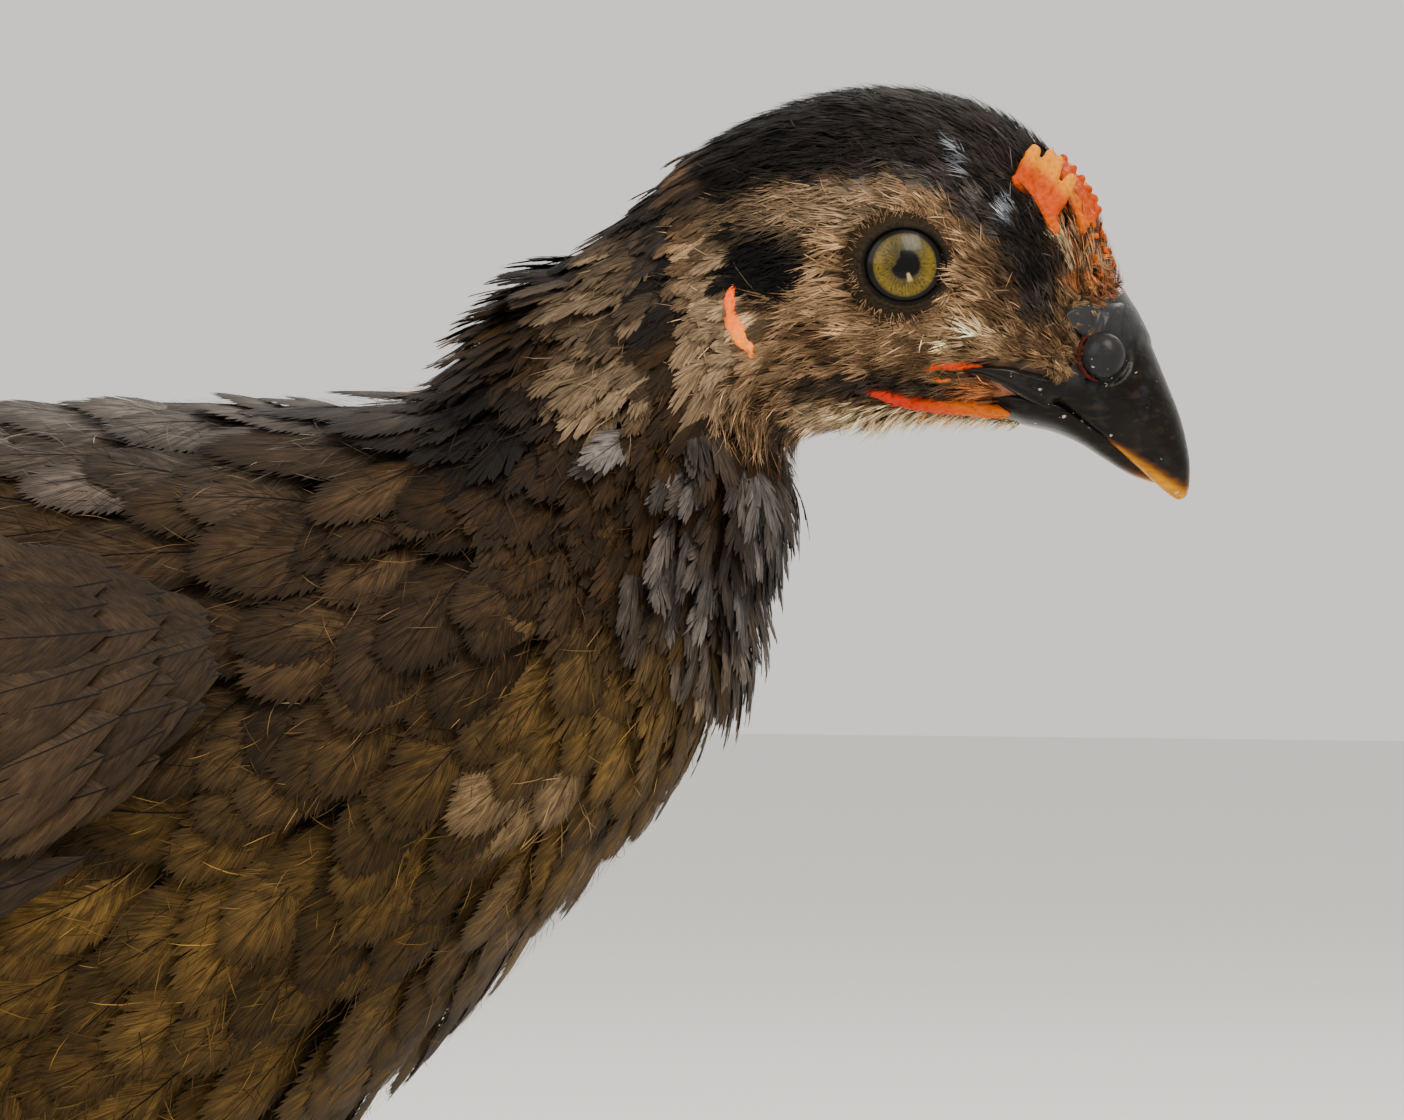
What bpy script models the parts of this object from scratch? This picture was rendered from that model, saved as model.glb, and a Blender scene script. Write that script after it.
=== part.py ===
"""An olive egger pullet of about eight weeks, life size, standing with her neck stretched forward and down.

+X is the way the bill points, +Y is the bird's left, +Z is up and the floor is z = 0. Sizes are in
millimetres, and MM turns them into metres where a mesh is made. The origin is under the middle of the bird.
"""

import math
from functools import partial

import bmesh
import bpy
import numpy as np
from mathutils import Matrix, Vector

MM = 0.001
GAP = 0.3
RIGHT, LEFT = -1, 1
SIDES = {"right": RIGHT, "left": LEFT}

# Driving sizes.
CROWN_HEIGHT = 228.0
BACK_HEIGHT = 196.0
KEEL_HEIGHT = 94.5
BODY_HALF_WIDTH = 38.0
HEAD_HALF_WIDTH = 13.2
HOCK_HEIGHT = 67.0
FOOT_X = -14.0
FOOT_Y = 27.0
EYE_RADIUS = 6.2
TAIL_FEATHER_LENGTH = 74.0

# The trunk from the rump to the face. Each row is one cross-section: the x and z of its top, the x and z of
# its bottom, its half width, and how far down from the top it is widest, as a share of its height.
TRUNK = np.array(
    [
        (-112.0, 183.0, -106.0, 166.0, 9.0, 0.50),
        (-101.0, 188.0, -93.0, 142.0, 0.55 * BODY_HALF_WIDTH, 0.46),
        (-82.0, 191.5, -72.0, 117.0, 0.82 * BODY_HALF_WIDTH, 0.46),
        (-52.0, BACK_HEIGHT - 2.0, -45.0, 100.0, 0.97 * BODY_HALF_WIDTH, 0.47),
        (-18.0, BACK_HEIGHT - 0.5, -15.0, KEEL_HEIGHT, BODY_HALF_WIDTH, 0.48),
        (10.0, BACK_HEIGHT + 0.3, 13.0, 103.0, 0.97 * BODY_HALF_WIDTH, 0.48),
        (30.0, BACK_HEIGHT + 0.6, 36.5, 123.5, 0.89 * BODY_HALF_WIDTH, 0.49),
        (40.0, BACK_HEIGHT + 1.4, 54.0, 141.0, 0.79 * BODY_HALF_WIDTH, 0.50),
        (45.5, BACK_HEIGHT + 3.2, 67.0, 155.5, 0.68 * BODY_HALF_WIDTH, 0.50),
        (49.0, BACK_HEIGHT + 7.2, 74.5, 167.5, 0.57 * BODY_HALF_WIDTH, 0.50),
        (53.0, 207.0, 77.5, 178.0, 18.6, 0.50),
        (57.5, 210.4, 80.5, 186.3, 15.8, 0.50),
        (62.5, 213.8, 81.0, 191.5, 14.3, 0.50),
        (66.5, 217.2, 82.5, 193.0, 1.01 * HEAD_HALF_WIDTH, 0.50),
        (72.5, 222.5, 87.0, 193.6, 1.02 * HEAD_HALF_WIDTH, 0.52),
        (80.0, 226.2, 91.5, 194.5, 1.03 * HEAD_HALF_WIDTH, 0.55),
        (88.0, CROWN_HEIGHT, 95.5, 194.8, HEAD_HALF_WIDTH, 0.58),
        (96.0, 227.2, 99.3, 194.8, 0.95 * HEAD_HALF_WIDTH, 0.60),
        (103.0, 223.9, 102.3, 194.6, 0.86 * HEAD_HALF_WIDTH, 0.62),
        (108.7, 218.5, 104.5, 194.2, 0.75 * HEAD_HALF_WIDTH, 0.63),
        (112.6, 212.4, 106.0, 193.9, 0.64 * HEAD_HALF_WIDTH, 0.61),
        (115.0, 206.9, 107.2, 193.5, 0.54 * HEAD_HALF_WIDTH, 0.56),
    ]
)
NECK_FROM, HEAD_FROM, FACE_END = 8.0, 13.0, 21.0
TORSO_SIDES, TORSO_RINGS = 28, 18

# The bill, in rows like the trunk's.
BILL_UPPER = np.array(
    [
        (115.2, 206.6, 109.2, 196.4, 7.0, 0.62),
        (117.0, 203.0, 111.8, 194.6, 6.1, 0.62),
        (118.7, 199.0, 114.3, 192.7, 5.0, 0.62),
        (120.3, 195.0, 116.7, 190.6, 3.8, 0.60),
        (121.2, 191.2, 118.9, 188.6, 2.4, 0.55),
        (121.3, 188.5, 120.2, 187.0, 1.0, 0.50),
    ]
)
BILL_LOWER = np.array(
    [
        (109.0, 196.5, 107.65, 194.2, 5.8, 0.30),
        (111.6, 194.6, 110.3, 192.9, 5.0, 0.30),
        (114.0, 192.7, 113.0, 191.2, 3.9, 0.30),
        (116.3, 190.6, 115.5, 189.4, 2.6, 0.35),
        (118.3, 188.8, 117.8, 188.1, 1.1, 0.40),
    ]
)
TAIL_CORE = np.array(
    [
        (-112.0, 183.0, -106.0, 166.0, 9.0, 0.50),
        (-122.0, 187.5, -117.0, 171.5, 8.2, 0.45),
        (-133.0, 192.5, -130.0, 180.0, 6.0, 0.42),
        (-142.0, 196.0, -140.5, 189.0, 3.0, 0.40),
    ]
)


def material(name, colour, roughness, metallic=0.0):
    made = bpy.data.materials.new(name)
    made.use_nodes = True
    shader = made.node_tree.nodes["Principled BSDF"]
    shader.inputs["Base Color"].default_value = (*colour, 1.0)
    shader.inputs["Roughness"].default_value = roughness
    shader.inputs["Metallic"].default_value = metallic
    return made


def clear_scene():
    for obj in list(bpy.data.objects):
        bpy.data.objects.remove(obj)


def mesh_object(name, points, faces, look):
    """A named object from points in millimetres. Its faces are turned to point out."""
    mesh = bpy.data.meshes.new(name)
    shape = bmesh.new()
    corners = [shape.verts.new(Vector(p) * MM) for p in points]
    for face in faces:
        shape.faces.new([corners[k] for k in face])
    bmesh.ops.recalc_face_normals(shape, faces=shape.faces)
    shape.to_mesh(mesh)
    shape.free()
    mesh.materials.append(look)
    mesh.shade_smooth()
    mesh.set_sharp_from_angle(angle=math.radians(50))
    made = bpy.data.objects.new(name, mesh)
    bpy.context.scene.collection.objects.link(made)
    return made


def bridged(rings):
    """The points and faces of a closed skin over a run of rings with equal counts."""
    count = len(rings[0])
    points = [p for ring in rings for p in ring]
    faces = [tuple(range(count))]
    for k in range(len(rings) - 1):
        for j in range(count):
            a, b = k * count + j, k * count + (j + 1) % count
            faces.append((a, b, b + count, a + count))
    faces.append(tuple(range((len(rings) - 1) * count, len(rings) * count)))
    return points, faces


def sheet(name, front, back, look):
    """A closed thin solid between two grids of points. Both faces are split into triangles alike."""
    rows, columns = len(front), len(front[0])
    points = [p for grid in (front, back) for row in grid for p in row]

    def at(face, row, column):
        return (face * rows + row) * columns + column

    faces = []
    for face in (0, 1):
        for r in range(rows - 1):
            for c in range(columns - 1):
                corner, across = at(face, r, c), at(face, r + 1, c + 1)
                faces += [(corner, at(face, r, c + 1), across), (corner, across, at(face, r + 1, c))]
    rim = [(0, c) for c in range(columns)] + [(r, columns - 1) for r in range(1, rows)]
    rim += [(rows - 1, c) for c in range(columns - 2, -1, -1)] + [(r, 0) for r in range(rows - 2, 0, -1)]
    for here, there in zip(rim, rim[1:] + rim[:1]):
        a, b, c, d = at(0, *here), at(0, *there), at(1, *there), at(1, *here)
        faces += [(a, b, c), (a, c, d)]
    return mesh_object(name, points, faces, look)


def pad(name, stations, look, edge=0.35):
    """A soft-edged pad on the skin. A station is a row of places across it, as functions of their lift, and
    its depth in the middle."""
    front, back = [], []
    for places, depth in stations:
        shares = np.linspace(-1, 1, len(places))
        front.append([place(lift=GAP + edge + depth * (1 - share ** 2)) for place, share in zip(places, shares)])
        back.append([place(lift=GAP) for place in places])
    return sheet(name, front, back, look)


def spline(rows, u):
    """The row at place u on a smooth curve through the rows (Catmull-Rom)."""
    k = min(max(int(math.floor(u)), 0), len(rows) - 2)
    t = u - k
    before = rows[k - 1] if k > 0 else 2 * rows[0] - rows[1]
    after = rows[k + 2] if k + 2 < len(rows) else 2 * rows[-1] - rows[-2]
    here, there = rows[k], rows[k + 1]
    return here + 0.5 * t * (
        there - before
        + t * (2 * before - 5 * here + 4 * there - after + t * (3 * (here - there) + after - before))
    )


def section_point(row, angle, roundness=2.0):
    """A point of one cross-section. Angle 0 is its top, a quarter turn is the bird's right side."""
    top_x, top_z, low_x, low_z, half_width, widest = row
    across, up = math.sin(angle), math.cos(angle)
    reach = widest if up > 0 else 1 - widest
    down = widest - reach * math.copysign(abs(up) ** (2 / roundness), up)
    return Vector(
        (
            top_x + down * (low_x - top_x),
            -half_width * math.copysign(abs(across) ** (2 / roundness), across),
            top_z + down * (low_z - top_z),
        )
    )


def section_normal(row):
    """The direction square to a cross-section, towards the bill."""
    down = Vector((row[2] - row[0], 0, row[3] - row[1])).normalized()
    return Vector((-down.z, 0, down.x))


def section_ring(rows, u, sides, shift=0.0, roundness=2.0):
    row = spline(rows, u)
    move = section_normal(row) * shift
    return [section_point(row, 2 * math.pi * k / sides, roundness) + move for k in range(sides)]


def grown(rows, by):
    """The same rows with every cross-section larger by the given distance."""
    made = rows.copy()
    down = rows[:, 2:4] - rows[:, 0:2]
    down /= np.linalg.norm(down, axis=1)[:, None]
    made[:, 0:2] -= down * by
    made[:, 2:4] += down * by
    made[:, 4] += by
    return made


def loft(name, rows, look, sides, rings, span=None, shifts=(0.0, 0.0), roundness=2.0):
    """A closed skin through the rows. The shifts move its two end sections, to keep a gap to a neighbour."""
    first, last = span or (0, len(rows) - 1)
    places = np.linspace(first, last, rings)
    made = [section_ring(rows, u, sides, roundness=roundness) for u in places]
    made[0] = section_ring(rows, first, sides, shifts[0], roundness)
    made[-1] = section_ring(rows, last, sides, shifts[1], roundness)
    return mesh_object(name, *bridged(made), look)


def tube(name, path, look, sides, ends=(None, None), rises=None):
    """A closed tube. Each path entry is a centre, the radius up and down, and the radius sideways.

    The ends may give the directions that its first and last sections face, and the rises how far each section
    stands out on its upper side."""
    centres = [Vector(c) for c, _, _ in path]
    rings, last = [], None
    for k, (_, tall, wide) in enumerate(path):
        along = (centres[min(k + 1, len(path) - 1)] - centres[max(k - 1, 0)]).normalized()
        if k == 0 and ends[0]:
            along = ends[0]
        if k == len(path) - 1 and ends[1]:
            along = ends[1]
        sideways = along.cross(Vector((0, 0, 1)))
        if sideways.length < 0.2:
            sideways = Vector((0, -1, 0))
        sideways = (sideways - along * sideways.dot(along)).normalized()
        if last and sideways.dot(last) < 0:
            sideways = -sideways
        last = sideways
        up = sideways.cross(along)
        ring = []
        for j in range(sides):
            turn = 2 * math.pi * j / sides
            out = 1 + (rises[k] if rises else 0) * max(0.0, math.cos(turn)) ** 0.5 / tall
            ring.append(centres[k] + (up * tall * math.cos(turn) + sideways * wide * math.sin(turn)) * out)
        rings.append(ring)
    return mesh_object(name, *bridged(rings), look)


def plated(path, count, rise):
    """The path with a pair of sections for each scute, and how far each section's upper side stands out. A
    scute rises towards its far edge and drops there to the next one's root."""
    places = np.linspace(0, 1, len(path))
    centres = np.array([c for c, _, _ in path])
    sizes = np.array([size for _, *size in path])
    shares, rises = [], []
    for k in range(count):
        shares += [k / count, (k + 0.86) / count]
        rises += [0.0, rise]
    made = []
    for share in shares + [1.0]:
        centre = Vector(np.interp(share, places, centres[:, axis]) for axis in range(3))
        tall, wide = (float(np.interp(share, places, sizes[:, axis])) for axis in range(2))
        made.append((centre, tall, wide))
    return made, rises + [0.0]


def ball(name, centre, radii, look, segments=16, rings=10, turn=None):
    mesh = bpy.data.meshes.new(name)
    shape = bmesh.new()
    bmesh.ops.create_uvsphere(shape, u_segments=segments, v_segments=rings, radius=1.0)
    place = Matrix.Translation(Vector(centre) * MM) @ (turn or Matrix.Identity(4))
    bmesh.ops.transform(shape, matrix=place @ Matrix.Diagonal((*(r * MM for r in radii), 1)), verts=shape.verts)
    shape.to_mesh(mesh)
    shape.free()
    mesh.materials.append(look)
    mesh.shade_smooth()
    made = bpy.data.objects.new(name, mesh)
    bpy.context.scene.collection.objects.link(made)
    return made


def block(name, low, high, look):
    """A box between two corners, used as a cutter."""
    points = [(x, y, z) for x in (low[0], high[0]) for y in (low[1], high[1]) for z in (low[2], high[2])]
    faces = [(0, 1, 3, 2), (4, 6, 7, 5), (0, 4, 5, 1), (2, 3, 7, 6), (0, 2, 6, 4), (1, 5, 7, 3)]
    return mesh_object(name, points, faces, look)


def apply_modifiers(obj):
    graph = bpy.context.evaluated_depsgraph_get()
    mesh = bpy.data.meshes.new_from_object(obj.evaluated_get(graph))
    obj.modifiers.clear()
    obj.data = mesh


def keep_largest(obj):
    """Drops every closed surface of the mesh but the one with the largest box."""
    shape = bmesh.new()
    shape.from_mesh(obj.data)
    left, groups = set(shape.verts), []
    while left:
        group, edge = set(), [left.pop()]
        while edge:
            vert = edge.pop()
            group.add(vert)
            for link in vert.link_edges:
                other = link.other_vert(vert)
                if other in left:
                    left.remove(other)
                    edge.append(other)
        groups.append(group)
    if len(groups) > 1:
        def extent(group):
            places = np.array([v.co for v in group])
            return float(np.ptp(places, axis=0).sum())

        largest = max(groups, key=extent)
        bmesh.ops.delete(shape, geom=[v for v in shape.verts if v not in largest], context="VERTS")
        shape.to_mesh(obj.data)
    shape.free()


def combined(base, others, operation, solver="EXACT"):
    """Joins the others to the base, or cuts them from it, in one Boolean, and removes them."""
    group = bpy.data.collections.new(base.name + "_operands")
    bpy.context.scene.collection.children.link(group)
    for obj in others:
        bpy.context.scene.collection.objects.unlink(obj)
        group.objects.link(obj)
    step = base.modifiers.new("Join", "BOOLEAN")
    step.operation = operation
    step.operand_type = "COLLECTION"
    step.collection = group
    step.solver = solver
    apply_modifiers(base)
    for obj in list(group.objects):
        bpy.data.objects.remove(obj)
    bpy.data.collections.remove(group)
    keep_largest(base)
    return base


def trunk_point(u, angle, lift=0.0):
    """A point of the trunk's skin, lifted square to it. Angles up to a half turn are the bird's right side."""
    step = 0.02
    here = section_point(spline(TRUNK, u), angle)
    along = section_point(spline(TRUNK, u + step), angle) - section_point(spline(TRUNK, u - step), angle)
    around = section_point(spline(TRUNK, u), angle + step) - section_point(spline(TRUNK, u), angle - step)
    return here + around.cross(along).normalized() * lift


def trunk_place(x, angle, lift=0.0):
    """A point over the torso's side at about this x."""
    middles = (TRUNK[:, 0] + TRUNK[:, 2]) / 2
    return trunk_point(float(np.interp(x, middles, range(len(middles)))), angle, lift)


def side_place(x, z, lift=0.0, side=RIGHT, span=(HEAD_FROM - 1.0, FACE_END)):
    """The point of the trunk's side seen at this x and z in profile, lifted square to the skin."""
    places = np.linspace(*span, 400)
    table = np.array([spline(TRUNK, u) for u in places])
    down = table[:, 2:4] - table[:, 0:2]
    ahead = (x - table[:, 0]) * -down[:, 1] + (z - table[:, 1]) * down[:, 0]
    u = float(np.interp(0.0, -ahead, places))
    top_x, top_z, low_x, low_z, _, widest = spline(TRUNK, u)
    fall = Vector((low_x - top_x, low_z - top_z))
    share = Vector((x - top_x, z - top_z)).dot(fall) / fall.length_squared
    up = (widest - share) / (widest if share < widest else 1 - widest)
    place = trunk_point(u, math.acos(max(-1.0, min(1.0, up))), lift)
    return Vector((place.x, place.y if side == RIGHT else -place.y, place.z))


def on_side(centre, side):
    """A place made for the bird's left, on the side asked for."""
    return centre[0], side * centre[1], centre[2]


def side_path(path, side):
    return [(on_side(centre, side), tall, wide) for centre, tall, wide in path]


def mirrored(points, side):
    """Points made for the bird's right side, moved to the side asked for."""
    return [Vector((p[0], p[1] if side == RIGHT else -p[1], p[2])) for p in points]


# The folded wing's core, as places along it from the shoulder back: x, the angles round the trunk of its upper
# and lower edges in half turns, and its depth.
WING_CORE = (
    (31.0, 0.36, 0.43, 0.5),
    (27.0, 0.30, 0.48, 4.4),
    (19.0, 0.26, 0.525, 7.2),
    (8.0, 0.235, 0.55, 8.0),
    (-5.0, 0.225, 0.565, 7.3),
    (-18.0, 0.225, 0.565, 5.6),
    (-30.0, 0.235, 0.56, 4.1),
    (-41.0, 0.25, 0.55, 2.4),
    (-50.0, 0.27, 0.53, 1.1),
)
CORE_LIFT = GAP + 0.3
VANE_DEPTH = 0.65
# A vane's outline: the share of its length, and its half width as a share of the widest.
FLIGHT_OUTLINE = ((0.0, 0.5), (0.3, 0.95), (0.6, 1.0), (0.87, 0.76), (1.0, 0.2))
COVERT_OUTLINE = ((0.0, 0.6), (0.42, 1.0), (0.8, 0.82), (1.0, 0.22))
# The wing's tiers. Root and tip are x and the angle in half turns, each for the topmost and the lowest feather.
WING_TIERS = (
    {
        "count": 9, "outline": FLIGHT_OUTLINE, "half_width": 5.2, "tilt": 1.3, "lifts": (2.0, 2.0, 4.2),
        "roots": ((-18.0, 0.26), (2.0, 0.545)), "tips": ((-73.0, 0.30), (-100.0, 0.485)), "bow": -5.0,
    },
    {
        "count": 7, "outline": COVERT_OUTLINE, "half_width": 5.2, "tilt": 1.0, "lifts": (3.2, 5.2, 5.2),
        "roots": ((2.0, 0.275), (13.0, 0.52)), "tips": ((-39.0, 0.275), (-52.0, 0.52)), "bow": -3.0,
    },
    {
        "count": 6, "outline": COVERT_OUTLINE, "half_width": 4.8, "tilt": 0.9, "lifts": (4.6, 7.9, 7.9),
        "roots": ((13.0, 0.30), (21.0, 0.485)), "tips": ((-12.0, 0.285), (-21.0, 0.495)), "bow": -2.0,
    },
)


def between(low, high, share):
    return tuple(a + (b - a) * share for a, b in zip(low, high))


def wing_core(name, side, look):
    """The feathered arm, hand and shoulder: a pad with soft edges that thins out towards the flight feathers."""
    outer, inner = [], []
    for x, upper, lower, depth in WING_CORE:
        shares = np.linspace(0, 1, 8)
        angles = [math.pi * (upper + (lower - upper) * share) for share in shares]
        swell = [1 - (2 * share - 1) ** 4 for share in shares]
        inner.append(mirrored([trunk_place(x, a, CORE_LIFT) for a in angles], side))
        outer.append(
            mirrored([trunk_place(x, a, CORE_LIFT + 0.6 + depth * b) for a, b in zip(angles, swell)], side)
        )
    return sheet(name, outer, inner, look)


def wing_vane(side, look, root, tip, half_width, tilt, lifts, outline):
    """One feather along the trunk's side. Its lower edge stands out and its upper edge lies in, so that the
    row overlaps like tiles."""
    front, back = [], []
    for share, width in outline:
        x, angle = between(root, tip, share)
        angle *= math.pi
        radius = (trunk_place(x, angle + 0.01) - trunk_place(x, angle - 0.01)).length / 0.02
        lift = float(np.interp(share, (0.0, 0.55, 1.0), lifts))
        turns = [(across, angle + across * half_width * width / radius) for across in (-1, 0, 1)]
        low = [trunk_place(x, turn, lift + tilt * across) for across, turn in turns]
        high = [trunk_place(x, turn, lift + tilt * across + VANE_DEPTH) for across, turn in turns]
        back.append(mirrored(low, side))
        front.append(mirrored(high, side))
    return sheet("vane", front, back, look)


def wing(name, side, look):
    """The folded wing: flight feathers, greater coverts and median coverts, in tiers on one core."""
    vanes = []
    for tier in WING_TIERS:
        for k in range(tier["count"]):
            share = k / (tier["count"] - 1)
            root = between(*tier["roots"], share)
            tip = between(*tier["tips"], share)
            tip = (tip[0] + tier["bow"] * math.sin(math.pi * share), tip[1])
            vanes.append(
                wing_vane(
                    side, look, root, tip, tier["half_width"], tier["tilt"], tier["lifts"], tier["outline"]
                )
            )
    return combined(wing_core(name, side, look), vanes, "UNION")


# The tail's tiers: six pairs of tail feathers, and three pairs of coverts over their roots. A pair of numbers is
# for the topmost and the lowest feather. The rise is in degrees, and out_root and out_tip are how far from the
# bird's middle the feather lies at its root and from its middle on.
TAIL_TIERS = (
    {
        "pairs": 6, "outline": FLIGHT_OUTLINE, "half_width": 6.6, "tilt": 2.2, "droop": 3.0,
        "root_x": -121.0, "root_z": (182.5, 175.5), "rise": (40.0, 9.0),
        "length": (TAIL_FEATHER_LENGTH, 0.84 * TAIL_FEATHER_LENGTH),
        "out_root": (2.55, 3.15), "out_tip": (2.55, 5.75),
    },
    {
        "pairs": 3, "outline": COVERT_OUTLINE, "half_width": 4.6, "tilt": 1.2, "droop": 2.0,
        "root_x": -113.5, "root_z": (182.0, 173.0), "rise": (33.0, 7.0), "length": (36.0, 30.0),
        "out_root": (4.4, 5.2), "out_tip": (7.3, 9.7),
    },
)
TAIL_SPREAD = 1.2


def tail_vane(side, look, tier, share):
    """One tail feather or covert. Its lower edge stands out by the tier's tilt."""
    def value(key):
        first, last = tier[key]
        return first + (last - first) * share

    rise = math.radians(value("rise"))
    along = Vector((-math.cos(rise), 0, math.sin(rise)))
    down = Vector((-math.sin(rise), 0, -math.cos(rise)))
    root = Vector((tier["root_x"], 0, value("root_z")))
    front, back = [], []
    for reach, width in tier["outline"]:
        middle = root + along * value("length") * reach - Vector((0, 0, tier["droop"] * reach ** 2))
        spread = (value("out_tip") - value("out_root")) * min(1.0, 2.0 * reach)
        high, low = [], []
        for across in (-1, 0, 1):
            place = middle + down * tier["half_width"] * width * across
            out = value("out_root") + spread + TAIL_SPREAD * reach + tier["tilt"] * across
            low.append(Vector((place.x, side * out, place.z)))
            high.append(Vector((place.x, side * (out + VANE_DEPTH), place.z)))
        front.append(high)
        back.append(low)
    return sheet("vane", front, back, look)


def tail(name, look):
    """The tail: the fleshy rump's end with pairs of feathers folded like a tent, and coverts over their roots."""
    vanes = [
        tail_vane(side, look, tier, k / (tier["pairs"] - 1))
        for side in SIDES.values()
        for tier in TAIL_TIERS
        for k in range(tier["pairs"])
    ]
    core = loft(name, TAIL_CORE, look, 14, 7, shifts=(-GAP, 0))
    return combined(core, vanes, "UNION")


def head(look):
    made = loft("head", TRUNK, look, 28, 15, (HEAD_FROM, FACE_END), (GAP / 2, -GAP / 2))
    lids = [eyelids(side, look) for side in SIDES.values()]
    lips = [lip for side in SIDES.values() for lip in lip_ridges(side, look)]
    combined(made, lids + lips, "UNION")
    cutters = [eyeball("socket", side, EYE_RADIUS + GAP, look) for side in SIDES.values()]
    cutters += [mouth_line(side, look) for side in SIDES.values()]
    cutters += [ear_cup(side, look) for side in SIDES.values()]
    return combined(made, cutters, "DIFFERENCE")


EYE_CENTRE = (94.0, 8.3, 210.1)
EYE_TURN = math.radians(14)
LID_RADIUS = 4.9
LID_DEPTH = 4.35


def eye_frame(side):
    """A matrix whose z axis looks out of the eye, at the eye's centre, in millimetres."""
    out = Vector((math.sin(EYE_TURN), side * math.cos(EYE_TURN), 0.04)).normalized()
    up = Vector((0, 0, 1))
    forward = up.cross(out).normalized()
    up = out.cross(forward)
    turn = Matrix((forward, up, out)).transposed().to_4x4()
    return Matrix.Translation(Vector(on_side(EYE_CENTRE, side))) @ turn


def eyelids(side, look):
    """The rim of both lids: a ring, longer than it is tall, round the opening of the eye."""
    frame = eye_frame(side)
    count, sides = 18, 6
    rings = []
    for k in range(count):
        a = 2 * math.pi * k / count
        spoke = Vector((math.cos(a) * 1.06, math.sin(a) * 0.97, 0))
        ring = []
        for j in range(sides):
            b = 2 * math.pi * j / sides
            place = spoke * (LID_RADIUS + 0.95 * math.cos(b)) + Vector((0, 0, LID_DEPTH + 0.75 * math.sin(b)))
            ring.append(frame @ place)
        rings.append(ring)
    points = [p for ring in rings for p in ring]
    faces = []
    for k in range(count):
        for j in range(sides):
            a, b = k * sides + j, k * sides + (j + 1) % sides
            c, d = (k + 1) % count * sides + (j + 1) % sides, (k + 1) % count * sides + j
            faces.append((a, b, c, d))
    return mesh_object("lids", points, faces, look)


def eyeball(name, side, radius, look):
    turn = eye_frame(side).to_3x3().to_4x4()
    return ball(name, on_side(EYE_CENTRE, side), (radius,) * 3, look, 16, 10, turn)


# The mouth line in profile, from the bill back to the corner of the mouth: x and z.
MOUTH = ((107.6, 195.6), (104.5, 197.3), (100.8, 198.6), (96.5, 198.9), (91.8, 197.6))


def lip_ridges(side, look):
    """The two lips, as low ridges over and under the mouth line."""
    made = []
    for rise, size in ((0.85, 0.8), (-0.95, 0.95)):
        sizes = (0.75 * size, size, size, size, 0.5 * size)
        rises = (rise, rise, rise, rise, 0.3 * rise)
        path = [(side_place(x, z + r, -0.2, side), w, w) for (x, z), r, w in zip(MOUTH, rises, sizes)]
        made.append(tube("lip", path, look, 7))
    return made


def mouth_line(side, look):
    """The groove between the lips."""
    path = [(side_place(x, z, 0.55, side), 0.28, 0.9) for x, z in MOUTH]
    ahead = path[0][0] - path[1][0]
    path.insert(0, (path[0][0] + ahead, 0.28, 0.9))
    return tube("groove", path, look, 6)


EAR = (83.0, 207.0)
# The ear lobe in profile: x, z, half width and depth.
LOBE = ((79.0, 210.6, 0.5, 0.3), (77.8, 208.4, 1.1, 0.9), (77.5, 205.6, 1.5, 1.4), (78.2, 202.9, 1.4, 1.4),
        (79.4, 200.6, 0.6, 0.5))
# The wattle's fold: the place along the trunk, the angle round it in half turns, its half width and depth.
WATTLE = ((18.5, 0.85, 0.5, 0.3), (17.8, 0.853, 1.1, 0.9), (17.0, 0.855, 1.3, 1.2), (16.2, 0.85, 1.2, 1.0),
          (15.4, 0.84, 0.5, 0.3))


def ear_cup(side, look):
    """The shallow cup of the ear opening, behind and below the eye."""
    return ball("cup", side_place(*EAR, 0.4, side), (2.6, 2.0, 3.1), look, 14, 8)


def ear_lobe(name, side, look):
    """The small bare lobe behind and under the ear."""
    stations = []
    for x, z, half, depth in LOBE:
        places = [partial(side_place, x + half * share, z, side=side) for share in np.linspace(-1, 1, 5)]
        stations.append((places, depth))
    return pad(name, stations, look)


def wattle(name, side, look):
    """The young bird's wattle, still only a low fold of bare skin under the corner of the mouth."""
    def place(u, angle, lift):
        return mirrored([trunk_point(u, angle, lift)], side)[0]

    stations = []
    for u, angle, half, depth in WATTLE:
        turns = angle * math.pi + np.linspace(-1, 1, 5) * half / HEAD_HALF_WIDTH
        stations.append(([partial(place, u, turn) for turn in turns], depth))
    return pad(name, stations, look)


COMB_SPAN = (18.0, 20.7)
COMB_BEADS = 5
COMB_BASE = 0.9


def comb(look):
    """A pea comb: three low rows of beads along the forehead, the middle one tallest."""
    def forehead(u, y, lift):
        turn = -math.asin(max(-1.0, min(1.0, y / spline(TRUNK, u)[4])))
        return trunk_point(u, turn, lift)

    stations = []
    for u in np.linspace(*COMB_SPAN, 8):
        half = 2.7 - 1.2 * abs(u - COMB_SPAN[0] - 1.0) / 1.7
        stations.append(([partial(forehead, u, half * share) for share in np.linspace(-1, 1, 5)], 0.5))
    base = pad("comb", stations, look, COMB_BASE)
    beads = []
    for y, count, size in ((0, COMB_BEADS, 1.25), (1.7, COMB_BEADS - 1, 0.95), (-1.7, COMB_BEADS - 1, 0.95)):
        for k in range(count):
            share = (k + (0.4 if y == 0 else 0.75)) / COMB_BEADS
            tall = size * (1.3 - 0.45 * share)
            place = forehead(COMB_SPAN[0] + 0.1 + 2.4 * share, y, GAP + 0.3 + tall)
            beads.append(ball("bead", place, (0.8 * size, 0.75 * size, tall), look, 6, 4))
    return combined(base, beads, "UNION")


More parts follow.
